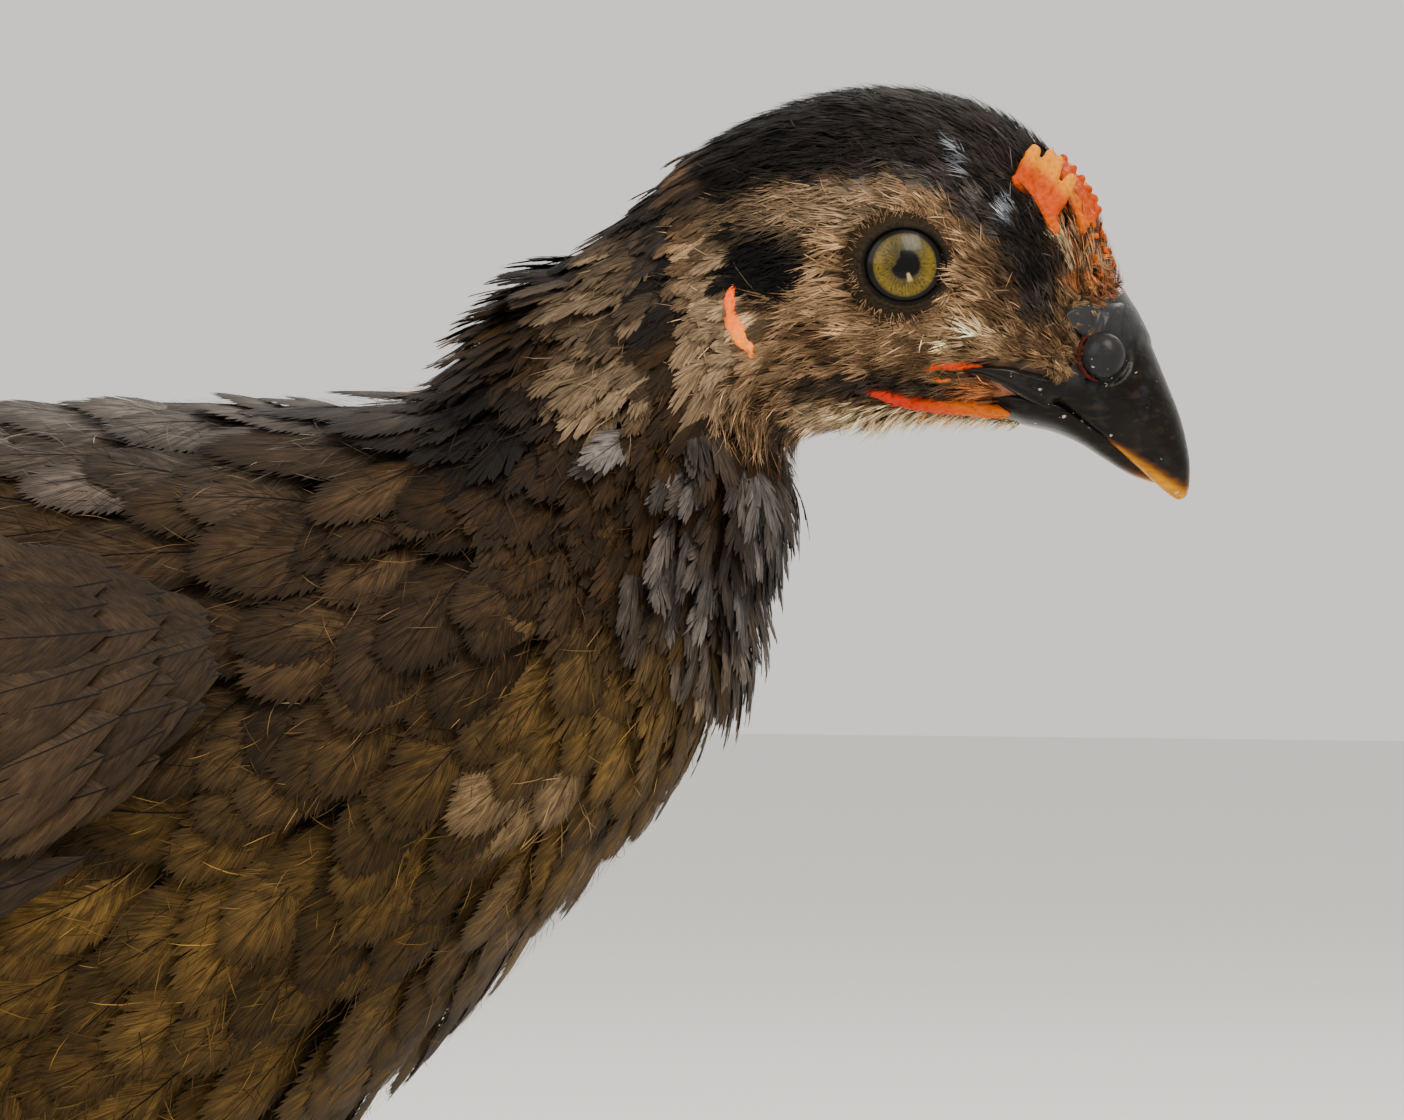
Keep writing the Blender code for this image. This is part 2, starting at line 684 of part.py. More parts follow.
# The flap over each nostril, and the open slit behind and under it.
NOSTRIL_FLAP = (114.0, 5.0, 201.3)
NOSTRIL_FLAP_RADII = (2.0, 1.5, 2.4)
NOSTRIL_SLIT = (((111.9, 6.9, 200.2), 0.5, 0.7), ((113.0, 6.6, 198.7), 0.5, 0.9), ((114.8, 5.8, 198.4), 0.5, 0.8))


def bill_upper(look):
    """The upper bill with its nostrils, cut back where the lower bill lies in it."""
    made = loft("bill_upper", BILL_UPPER, look, 18, 12, shifts=(GAP, 0), roundness=2.2)
    flaps = [
        ball("flap", on_side(NOSTRIL_FLAP, side), NOSTRIL_FLAP_RADII, look, 12, 8) for side in SIDES.values()
    ]
    combined(made, flaps, "UNION")
    slits = [tube("slit", side_path(NOSTRIL_SLIT, side), look, 6) for side in SIDES.values()]
    combined(made, slits, "DIFFERENCE")
    floor = loft("floor", grown(BILL_LOWER, GAP), look, 18, 12, roundness=2.2)
    return combined(made, [floor], "DIFFERENCE")


def bill_lower(look):
    return loft("bill_lower", BILL_LOWER, look, 16, 9, shifts=(GAP, 0), roundness=2.2)


# The leg: the thigh's feathered outline from inside the body down to the hock, then the shank.
THIGH = (
    ((-2.0, 21.0, 138.0), 17.0, 13.0),
    ((-9.0, 26.5, 119.0), 20.0, 15.5),
    ((-19.0, 28.0, 100.0), 17.0, 13.5),
    ((-29.0, 27.8, 83.5), 10.5, 9.5),
    ((-35.5, 27.0, 72.0), 6.2, 6.0),
    ((-37.5, 27.0, HOCK_HEIGHT), 5.0, 4.8),
)
SHANK_TOP = Vector((-37.5, 27.0, HOCK_HEIGHT))
SHANK_FOOT = Vector((FOOT_X - 3.0, FOOT_Y, 8.5))
# The share of the shank's length, with its radius from front to back and from side to side.
SHANK_SIZES = (
    (0.0, 4.9, 4.7), (0.07, 5.6, 4.9), (0.16, 4.4, 4.0), (0.4, 3.7, 3.3), (0.75, 3.8, 3.3), (1.0, 4.4, 4.2),
)
# Each toe: the turn from straight ahead in degrees, the length from the foot's middle, and the radius.
TOES = {
    "middle": (2.0, 46.0, 3.3),
    "inner": (-36.0, 34.0, 3.0),
    "outer": (37.0, 36.0, 3.0),
    "hind": (-158.0, 17.0, 2.7),
}
CLAW_LENGTH = {"middle": 8.5, "inner": 7.5, "outer": 7.0, "hind": 6.5}
SHANK_SCUTES = 12
TOE_SCUTES = {"middle": 7, "inner": 6, "outer": 6, "hind": 3}
SCUTE_RISE = 0.45


def thigh(name, side, look):
    made = tube(name, side_path(THIGH, side), look, 16, (None, Vector((0, 0, -1))))
    wall = loft("wall", grown(TRUNK, GAP), look, TORSO_SIDES, TORSO_RINGS, (0, NECK_FROM))
    return combined(made, [wall], "DIFFERENCE", "MANIFOLD")


def shank(name, side, look):
    """The bare shank, with one row of broad scutes down its front."""
    down = (SHANK_FOOT - SHANK_TOP).normalized()
    start, length = SHANK_TOP + down * GAP, (SHANK_FOOT - SHANK_TOP).length - GAP
    places = [share for share, _, _ in SHANK_SIZES]
    path = []
    for share in np.linspace(0, 1, 2 * SHANK_SCUTES):
        tall, wide = (float(np.interp(share, places, [row[k] for row in SHANK_SIZES])) for k in (1, 2))
        path.append((start + down * length * share, tall, wide))
    path, rises = plated(side_path(path, side), SHANK_SCUTES, SCUTE_RISE)
    return tube(name, path, look, 10, (Vector((0, 0, -1)), None), rises)


def toe_place(toe, share, side):
    """Where the middle of a toe runs, from the foot out to the claw."""
    turn, length, radius = TOES[toe]
    turn = math.radians(turn) * side
    size = radius * (1.0 - 0.34 * share)
    out = length * share
    return Vector((FOOT_X + out * math.cos(turn), side * FOOT_Y + out * math.sin(turn), 0.8 * size)), size


def foot(name, side, look):
    """The hub under the shank and four toes, with one flat cut through all of their soles."""
    down = (SHANK_FOOT - SHANK_TOP).normalized()
    hub_path = [
        (SHANK_FOOT + down * GAP, 4.4, 4.2),
        (SHANK_FOOT + down * 3.0, 5.0, 5.0),
        (SHANK_FOOT + down * 7.0, 4.2, 4.6),
    ]
    made = tube(name, side_path(hub_path, side), look, 12)
    toes = []
    for toe, scutes in TOE_SCUTES.items():
        path = []
        for share in np.linspace(0, 1, 2 * scutes):
            place, size = toe_place(toe, share, side)
            path.append((place, size, size * 0.95))
        path, rises = plated(path, scutes, 0.8 * SCUTE_RISE)
        toes.append(tube("toe", path, look, 8, rises=rises))
    combined(made, toes, "UNION")
    floor = block("floor", (-120, -90, -30), (120, 90, 0), look)
    return combined(made, [floor], "DIFFERENCE")


def claw(name, side, toe, look):
    end, size = toe_place(toe, 1.0, side)
    turn = math.radians(TOES[toe][0]) * side
    out = Vector((math.cos(turn), math.sin(turn), 0))
    length = CLAW_LENGTH[toe]
    path = []
    for share in (0.0, 0.3, 0.6, 0.85, 1.0):
        drop = (end.z - 0.55) * share ** 2
        radius = 0.72 * size * (1 - share) + 0.3
        path.append((end + out * (GAP + length * share) - Vector((0, 0, drop)), radius, 0.8 * radius))
    return tube(name, path, look, 8)


def centre_on_origin():
    """Parents every node to one empty, placed so that the origin lies under the middle of the bird's box."""
    nodes = [o for o in bpy.context.scene.objects if o.type == "MESH"]
    places = np.array([v.co for o in nodes for v in o.data.vertices])
    middle = (places.min(axis=0) + places.max(axis=0)) / 2
    bird = bpy.data.objects.new("bird", None)
    bpy.context.scene.collection.objects.link(bird)
    bird.location = (-middle[0], -middle[1], 0)
    for node in nodes:
        node.parent = bird


def build():
    clear_scene()
    plumage = material("plumage", (0.055, 0.040, 0.024), 0.75)
    crown = material("head_plumage", (0.045, 0.034, 0.026), 0.6)
    bare_skin = material("bare_skin", (0.62, 0.17, 0.05), 0.5)
    horn = material("horn", (0.030, 0.034, 0.042), 0.3)
    iris = material("eye", (0.42, 0.34, 0.06), 0.08)
    scales = material("shank_scales", (0.11, 0.125, 0.115), 0.45)
    claw_horn = material("claw_horn", (0.10, 0.085, 0.065), 0.35)

    loft("torso", TRUNK, plumage, TORSO_SIDES, TORSO_RINGS, (0, NECK_FROM), (0, -GAP / 2))
    loft("neck", TRUNK, plumage, 26, 9, (NECK_FROM, HEAD_FROM), (GAP / 2, -GAP / 2))
    head(crown)
    bill_upper(horn)
    bill_lower(horn)
    comb(bare_skin)
    tail("tail", plumage)
    for word, side in SIDES.items():
        eyeball(f"eye_{word}", side, EYE_RADIUS, iris)
        ear_lobe(f"ear_lobe_{word}", side, bare_skin)
        wattle(f"wattle_{word}", side, bare_skin)
        wing(f"wing_{word}", side, plumage)
        thigh(f"thigh_{word}", side, plumage)
        shank(f"shank_{word}", side, scales)
        foot(f"foot_{word}", side, scales)
        for toe in TOES:
            claw(f"claw_{toe}_{word}", side, toe, claw_horn)
    centre_on_origin()


build()
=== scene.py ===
"""The looks of the olive egger pullet: her skin, every feather over it, eyes, bill, comb and feet.

Places are in millimetres in the bird's own profile: x towards the bill, y to her left, z up from the floor.
The trunk is a run of cross-sections, so a place on her skin is u, along her from tail to face, and an angle
round her, where 0 is the top and a quarter turn is her right side.
"""

import math

import bmesh
import bpy
import numpy as np
from mathutils import Matrix, Vector


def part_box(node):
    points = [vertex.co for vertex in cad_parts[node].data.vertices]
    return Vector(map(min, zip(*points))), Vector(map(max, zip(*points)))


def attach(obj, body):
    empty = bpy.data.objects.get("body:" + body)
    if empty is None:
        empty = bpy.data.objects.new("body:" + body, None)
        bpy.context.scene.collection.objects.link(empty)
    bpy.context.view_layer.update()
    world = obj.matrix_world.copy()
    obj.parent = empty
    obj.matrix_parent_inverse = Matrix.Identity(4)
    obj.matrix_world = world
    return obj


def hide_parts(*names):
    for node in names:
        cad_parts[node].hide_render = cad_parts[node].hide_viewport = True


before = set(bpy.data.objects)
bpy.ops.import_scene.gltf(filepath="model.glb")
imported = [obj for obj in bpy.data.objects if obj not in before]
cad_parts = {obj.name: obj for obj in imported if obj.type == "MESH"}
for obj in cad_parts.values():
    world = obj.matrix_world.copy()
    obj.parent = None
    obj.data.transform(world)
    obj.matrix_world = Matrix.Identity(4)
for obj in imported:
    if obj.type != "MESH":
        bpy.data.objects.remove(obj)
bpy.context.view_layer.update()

MM = 0.001
RIGHT, LEFT = -1, 1
SIDES = {"right": RIGHT, "left": LEFT}

# The trunk's cross-sections, from the tail's core to the face: the x and z of the top, the x and z of the
# bottom, the half width, and how far down the widest part is, as a share of the height.
TRUNK = np.array((
    (-142.0, 196.0, -140.5, 189.0, 3.0, 0.40),
    (-133.0, 192.5, -130.0, 180.0, 6.0, 0.42),
    (-122.0, 187.5, -117.0, 171.5, 8.2, 0.45),
    (-112.0, 183.0, -106.0, 166.0, 9.0, 0.50),
    (-101.0, 188.0, -93.0, 142.0, 20.9, 0.46),
    (-82.0, 191.5, -72.0, 117.0, 31.2, 0.46),
    (-52.0, 194.0, -45.0, 100.0, 36.9, 0.47),
    (-18.0, 195.5, -15.0, 94.5, 38.0, 0.48),
    (10.0, 196.3, 13.0, 103.0, 36.9, 0.48),
    (30.0, 196.6, 36.5, 123.5, 33.8, 0.49),
    (40.0, 197.4, 54.0, 141.0, 30.0, 0.50),
    (45.5, 199.2, 67.0, 155.5, 25.8, 0.50),
    (49.0, 203.2, 74.5, 167.5, 21.7, 0.50),
    (53.0, 207.0, 77.5, 178.0, 18.6, 0.50),
    (57.5, 210.4, 80.5, 186.3, 15.8, 0.50),
    (62.5, 213.8, 81.0, 191.5, 14.3, 0.50),
    (66.5, 217.2, 82.5, 193.0, 13.3, 0.50),
    (72.5, 222.5, 87.0, 193.6, 13.5, 0.52),
    (80.0, 226.2, 91.5, 194.5, 13.6, 0.55),
    (88.0, 228.0, 95.5, 194.8, 13.2, 0.58),
    (96.3, 227.4, 99.3, 194.8, 12.5, 0.60),
    (103.6, 224.6, 102.3, 194.6, 11.4, 0.62),
    (110.0, 218.6, 104.5, 194.2, 9.9, 0.63),
    (112.9, 212.4, 106.0, 193.9, 8.4, 0.61),
    (115.0, 206.9, 107.2, 193.5, 7.1, 0.56),
))
FACE = len(TRUNK) - 1.0
BILL_UPPER = np.array((
    (115.2, 206.6, 109.2, 196.4, 7.0, 0.62),
    (117.0, 203.0, 111.8, 194.6, 6.1, 0.62),
    (118.7, 199.0, 114.3, 192.7, 5.0, 0.62),
    (120.3, 195.0, 116.7, 190.6, 3.8, 0.60),
    (121.2, 191.2, 118.9, 188.6, 2.4, 0.55),
    (121.3, 188.5, 120.2, 187.1, 1.1, 0.50),
    (121.1, 187.3, 120.75, 186.9, 0.3, 0.50),
))
BILL_LOWER = np.array((
    (103.4, 197.4, 102.6, 194.6, 5.7, 0.30),
    (106.2, 196.9, 105.0, 193.8, 6.6, 0.30),
    (109.0, 196.3, 107.65, 193.2, 6.1, 0.30),
    (111.6, 194.6, 110.3, 192.1, 5.0, 0.30),
    (114.0, 192.7, 113.0, 190.4, 3.9, 0.30),
    (116.3, 190.6, 115.5, 188.9, 2.6, 0.35),
    (118.3, 188.8, 117.8, 188.1, 1.1, 0.40),
))
# The horn that runs back from the bill under the lore, in profile: x, and its upper and lower edges.
WEDGE = ((100.2, 199.7, 199.4), (102.4, 200.0, 198.8), (104.8, 199.9, 197.3), (106.6, 199.4, 196.0),
         (108.4, 199.0, 194.9), (111.0, 198.9, 194.5), (113.0, 199.2, 195.0), (115.0, 199.0, 196.4))
# The slate hood over the nostril, and the lower bill's horn behind the upper one's edge, in the same terms.
HOOD = ((110.2, 205.2, 204.8), (110.7, 205.9, 203.7), (111.6, 206.3, 202.8), (112.8, 206.5, 202.2),
        (114.0, 206.5, 201.8), (115.2, 206.2, 202.4))
JAW = ((102.8, 197.9, 195.4), (104.0, 197.9, 194.9), (106.0, 197.6, 194.3), (108.5, 196.9, 193.6),
       (111.0, 196.0, 192.6))
NOSTRIL = np.array((113.6, 6.45, 201.05))
EYE = np.array((93.7, 8.3, 209.7))
EYE_TURN = math.radians(14)
EYE_RADIUS = 6.2
# Down the thigh: the middle, the radius from front to back and the radius from side to side.
THIGH = (
    ((-2.0, 21.0, 138.0), 17.0, 13.0),
    ((-9.0, 26.5, 119.0), 20.0, 15.5),
    ((-19.0, 28.0, 100.0), 17.0, 13.5),
    ((-29.0, 27.8, 83.5), 10.5, 9.5),
    ((-35.5, 27.0, 72.0), 6.2, 6.0),
    ((-37.5, 27.0, 67.0), 5.0, 4.8),
)
# Past the hock the feathers lie over the shank and the skin ends inside it.
HOCK_OUTSIDE = ((-35.9, 27.0, 62.2), 5.9, 5.3)
HOCK_INSIDE = ((-35.9, 27.0, 62.2), 4.3, 3.9)
THIGH_INSETS = (1.2, 2.4, 2.4, 2.4, 1.6, 1.3, 0.0)

# The part's origin lies under the middle of its box, so the profile's x is moved to it, by where the solid
# eye is.
SOLID_EYE_X = 94.0
eye_low, eye_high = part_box("eye_right")
SHIFT = (eye_low[0] + eye_high[0]) / 2 / MM - SOLID_EYE_X


def to_world(places):
    """Places of the profile in metres, in the part's own frame."""
    return (np.asarray(places, float) + (SHIFT, 0, 0)) * MM


# Numbers


def rows_at(rows, u):
    """The sections at the places u, on a smooth curve that passes through every row."""
    k = np.clip(np.floor(u).astype(int), 0, len(rows) - 2)
    t = (u - k)[..., None]
    ends = np.vstack([2 * rows[0] - rows[1], rows, 2 * rows[-1] - rows[-2]])
    before, here, there, after = ends[k], ends[k + 1], ends[k + 2], ends[k + 3]
    return here + 0.5 * t * (
        there - before
        + t * (2 * before - 5 * here + 4 * there - after + t * (3 * (here - there) + after - before))
    )


def section(rows, u, angle, roundness=2.0, low_roundness=None):
    """Points on a run of cross-sections, whose lower half may be squarer than the upper one."""
    u, angle = np.broadcast_arrays(np.asarray(u, float), np.asarray(angle, float))
    row = rows_at(rows, u)
    across, up = np.sin(angle), np.cos(angle)
    power = 2 / np.where(up < 0, low_roundness or roundness, roundness)
    widest = row[..., 5]
    reach = np.where(up > 0, widest, 1 - widest)
    down = widest - reach * np.sign(up) * np.abs(up) ** power
    x = row[..., 0] + down * (row[..., 2] - row[..., 0])
    y = -row[..., 4] * np.sign(across) * np.abs(across) ** power
    z = row[..., 1] + down * (row[..., 3] - row[..., 1])
    return np.stack([x, y, z], -1)


def unit(vectors):
    """The same directions at length 1."""
    return vectors / np.maximum(np.linalg.norm(vectors, axis=-1, keepdims=True), 1e-9)


def slopes(surface, u, angle, step):
    """How a surface's place moves along u and round the angle."""
    along = (surface(u + step, angle) - surface(u - step, angle)) / (2 * step)
    around = (surface(u, angle + step) - surface(u, angle - step)) / (2 * step)
    return along, around


def skin_frame(u, angle):
    """The place on the trunk, the direction out of it, and how the place moves with u and with the angle."""
    along, around = slopes(lambda a, b: section(TRUNK, a, b), u, angle, 0.02)
    return section(TRUNK, u, angle), unit(np.cross(around, along)), along, around


def on_trunk(u, angle, lift):
    """Places lifted off the trunk."""
    place, out, _, _ = skin_frame(u, angle)
    return place + out * np.asarray(lift)[..., None]


def trunk_spot(u, angle, lift):
    """One place over the trunk."""
    return on_trunk(np.array([u]), np.array([angle]), np.array([lift]))[0]


def u_at(x):
    """The place along the torso whose section's middle is at this x."""
    middles = (TRUNK[:, 0] + TRUNK[:, 2]) / 2
    return np.interp(x, middles, np.arange(len(middles)))


def smooth(low, high, value):
    """A soft step from 0 at low to 1 at high."""
    t = np.clip((np.asarray(value, float) - low) / (high - low), 0, 1)
    return t * t * (3 - 2 * t)


def spot(x, z, centre, radii, soft=0.3):
    """1 inside an ellipse of the profile and 0 outside it."""
    far = np.hypot((x - centre[0]) / radii[0], (z - centre[1]) / radii[1])
    return 1 - smooth(1 - soft, 1 + soft, far)


def wobble(places, size, seed):
    """Soft noise in -1 to 1 from a sum of plane waves."""
    draw = np.random.default_rng(seed)
    total = np.zeros(len(places))
    for _ in range(7):
        wave = unit(draw.normal(size=3)) * 2 * math.pi / (size * draw.uniform(0.6, 1.6))
        total += np.sin(places @ wave + draw.uniform(0, 6.28))
    return total / 3.2


def turned(turn):
    """Angles kept between minus and plus a half turn."""
    return (turn + math.pi) % (2 * math.pi) - math.pi


def between(low, high, share):
    """Each number a share of the way from one entry to another."""
    return tuple(a + (b - a) * share for a, b in zip(low, high))


def along_path(path, count):
    """Entries evenly along a path of numbers."""
    rows = np.array(path, float)
    return rows_at(rows, np.linspace(0, len(rows) - 1, count))


def seen_at(rows, u, x, z):
    """The section seen at this x and z in profile: where it is, its row, and how far up from its widest."""
    row = rows_at(rows, u)
    down = row[:, 2:4] - row[:, 0:2]
    ahead = (x - row[:, 0]) * -down[:, 1] + (z - row[:, 1]) * down[:, 0]
    here = float(np.interp(0.0, -ahead, u))
    row = rows_at(rows, np.array([here]))[0]
    fall = row[2:4] - row[0:2]
    share = float(np.dot((x - row[0], z - row[1]), fall) / np.dot(fall, fall))
    return here, row, (row[5] - share) / (row[5] if share < row[5] else 1 - row[5])


def side_spot(x, z, side, lift=0.0):
    """The place on the head's side seen at this x and z in profile."""
    here, _, up = seen_at(TRUNK, np.linspace(15.0, FACE, 900), x, z)
    return trunk_spot(here, math.acos(max(-1.0, min(1.0, up))), lift) * (1, -side, 1)


# Meshes


def mesh_piece(name, points, faces, look, body="root", slot=None):
    """An object from arrays of points and faces (triangles or quads), riding on the part's body."""
    mesh = bpy.data.meshes.new(name)
    groups = faces if isinstance(faces, list) else [faces]
    counts = np.concatenate([np.full(len(g), g.shape[1]) for g in groups])
    corners = np.concatenate([g.ravel() for g in groups])
    mesh.vertices.add(len(points))
    mesh.vertices.foreach_set("co", to_world(points).astype(np.float32).ravel())
    mesh.loops.add(len(corners))
    mesh.loops.foreach_set("vertex_index", corners.astype(np.int32))
    mesh.polygons.add(len(counts))
    mesh.polygons.foreach_set("loop_start", np.concatenate([[0], np.cumsum(counts)[:-1]]).astype(np.int32))
    mesh.polygons.foreach_set("loop_total", counts.astype(np.int32))
    mesh.update(calc_edges=True)
    mesh.validate()
    mesh.shade_smooth()
    mesh.materials.append(look)
    piece = bpy.data.objects.new(name, mesh)
    bpy.context.scene.collection.objects.link(piece)
    if body:
        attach(piece, body)
    return piece


def add_attribute(piece, name, values, kind="FLOAT"):
    """A value for each point of a piece, which its material reads by name."""
    values = np.asarray(values, np.float32)
    layer = piece.data.attributes.new(name, kind, "POINT")
    if kind == "FLOAT_COLOR":
        values = np.concatenate([values[:, :3], np.ones((len(values), 1), np.float32)], axis=1)
    field = {"FLOAT": "value", "FLOAT_VECTOR": "vector", "FLOAT_COLOR": "color"}[kind]
    layer.data.foreach_set(field, values.ravel())


def add_feather_marks(piece, tints, vanes, shares, spots):
    """What a feather's material reads, and the map OFBake.

    On that map each feather is a small patch at its root's place on the skin's own unwrap.
    """
    add_attribute(piece, "tint", tints, "FLOAT_COLOR")
    add_attribute(piece, "vane", vanes, "FLOAT_VECTOR")
    add_attribute(piece, "along", shares)
    layer = piece.data.uv_layers.new(name="OFBake")
    corners = np.empty(len(piece.data.loops), np.int32)
    piece.data.loops.foreach_get("vertex_index", corners)
    layer.data.foreach_set("uv", spots[corners].astype(np.float32).ravel())


def grid_of(u, angle):
    """Both coordinates of every point on a grid."""
    return (g.ravel() for g in np.meshgrid(u, angle, indexing="ij"))


def grid_faces(rows, columns, closed=False):
    """Quads over a grid of points, joined round its columns where it is closed."""
    r, c = np.meshgrid(np.arange(rows - 1), np.arange(columns if closed else columns - 1), indexing="ij")
    here, there = r * columns + c, r * columns + (c + 1) % columns
    return np.stack([here, there, there + columns, here + columns], -1).reshape(-1, 4)


def capped(points, rows, columns):
    """The points and faces of a closed tube over a grid, each end closed by a fan to its middle."""
    points = points.reshape(-1, 3)
    quads = grid_faces(rows, columns, closed=True)
    first, last = points[:columns].mean(0), points[-columns:].mean(0)
    a, b = len(points), len(points) + 1
    ring = np.arange(columns)
    start = np.stack([ring, np.full(columns, a), (ring + 1) % columns], -1)
    base = (rows - 1) * columns
    end = np.stack([base + ring, base + (ring + 1) % columns, np.full(columns, b)], -1)
    return np.vstack([points, first, last]), [quads, np.vstack([start, end])]


# Colours, as linear values

BLACK = np.array((0.0036, 0.0029, 0.0024))
CROWN_BROWN = np.array((0.0062, 0.0047, 0.0037))
FACE_BEIGE = np.array((0.200, 0.120, 0.060))
FACE_BROWN = np.array((0.052, 0.026, 0.011))
NAPE_BROWN = np.array((0.0052, 0.0038, 0.0035))
NECK_BEIGE = np.array((0.142, 0.096, 0.054))
NECK_DARK = np.array((0.018, 0.0090, 0.0028))
CREAM = np.array((0.560, 0.400, 0.220))
OLIVE = np.array((0.039, 0.0215, 0.0046))
OLIVE_LIGHT = np.array((0.070, 0.040, 0.0100))
SHOULDER = np.array((0.026, 0.0150, 0.0070))
BLUE_GREY = np.array((0.048, 0.043, 0.040))
CROWN_GLINT = np.array((0.195, 0.210, 0.235))
BACK_GREY = np.array((0.072, 0.062, 0.054))
BELLY_GREY = np.array((0.120, 0.088, 0.054))
PALE_DOWN = np.array((0.170, 0.110, 0.055))
FOREHEAD_ORANGE = np.array((0.270, 0.085, 0.024))
BRISTLE_ORANGE = (0.45, 0.16, 0.02)

# Lines on the head in profile, each as its x and its z: the crown's lower edge, the dark line behind the
# mouth, the bare fold under it, and the chin's upper edge. The forehead's edge is given by its z and its x.
BROW_LINE = ((70, 76, 84, 92, 96.5, 100.5, 104.5, 105.8, 107),
             (222.0, 216.5, 217.8, 218.6, 217.4, 214.8, 211.5, 208, 203.5))
MOUTH_LINE = ((80, 86, 93.5, 96, 99, 103), (197.3, 197.9, 198.6, 197.8, 196.9, 196.5))
FOLD_LINE = ((90.0, 94.5, 97.5, 105.5), (197.5, 196.3, 195.9, 194.9))
CHIN_LINE = ((90, 95, 99, 105), (196.4, 195.8, 195.5, 194.2))
FOREHEAD_EDGE = ((206.5, 208.0, 210.3, 213.3, 215.5, 217.5, 219.5, 221.5),
                 (112.0, 110.4, 109.6, 109.2, 108.8, 108.0, 108.2, 109.6))


def blend(colours, tint, share):
    """Colours with a tint laid over each by its own share."""
    return colours + (np.asarray(tint) - colours) * np.clip(share, 0, 1)[:, None]


def forehead_area(x, z):
    """1 on the bristly orange skin that runs from the comb down the forehead, and 0 off it."""
    return smooth(-0.5, 0.6, x - np.interp(z, *FOREHEAD_EDGE)) * smooth(206.2, 207.4, z)


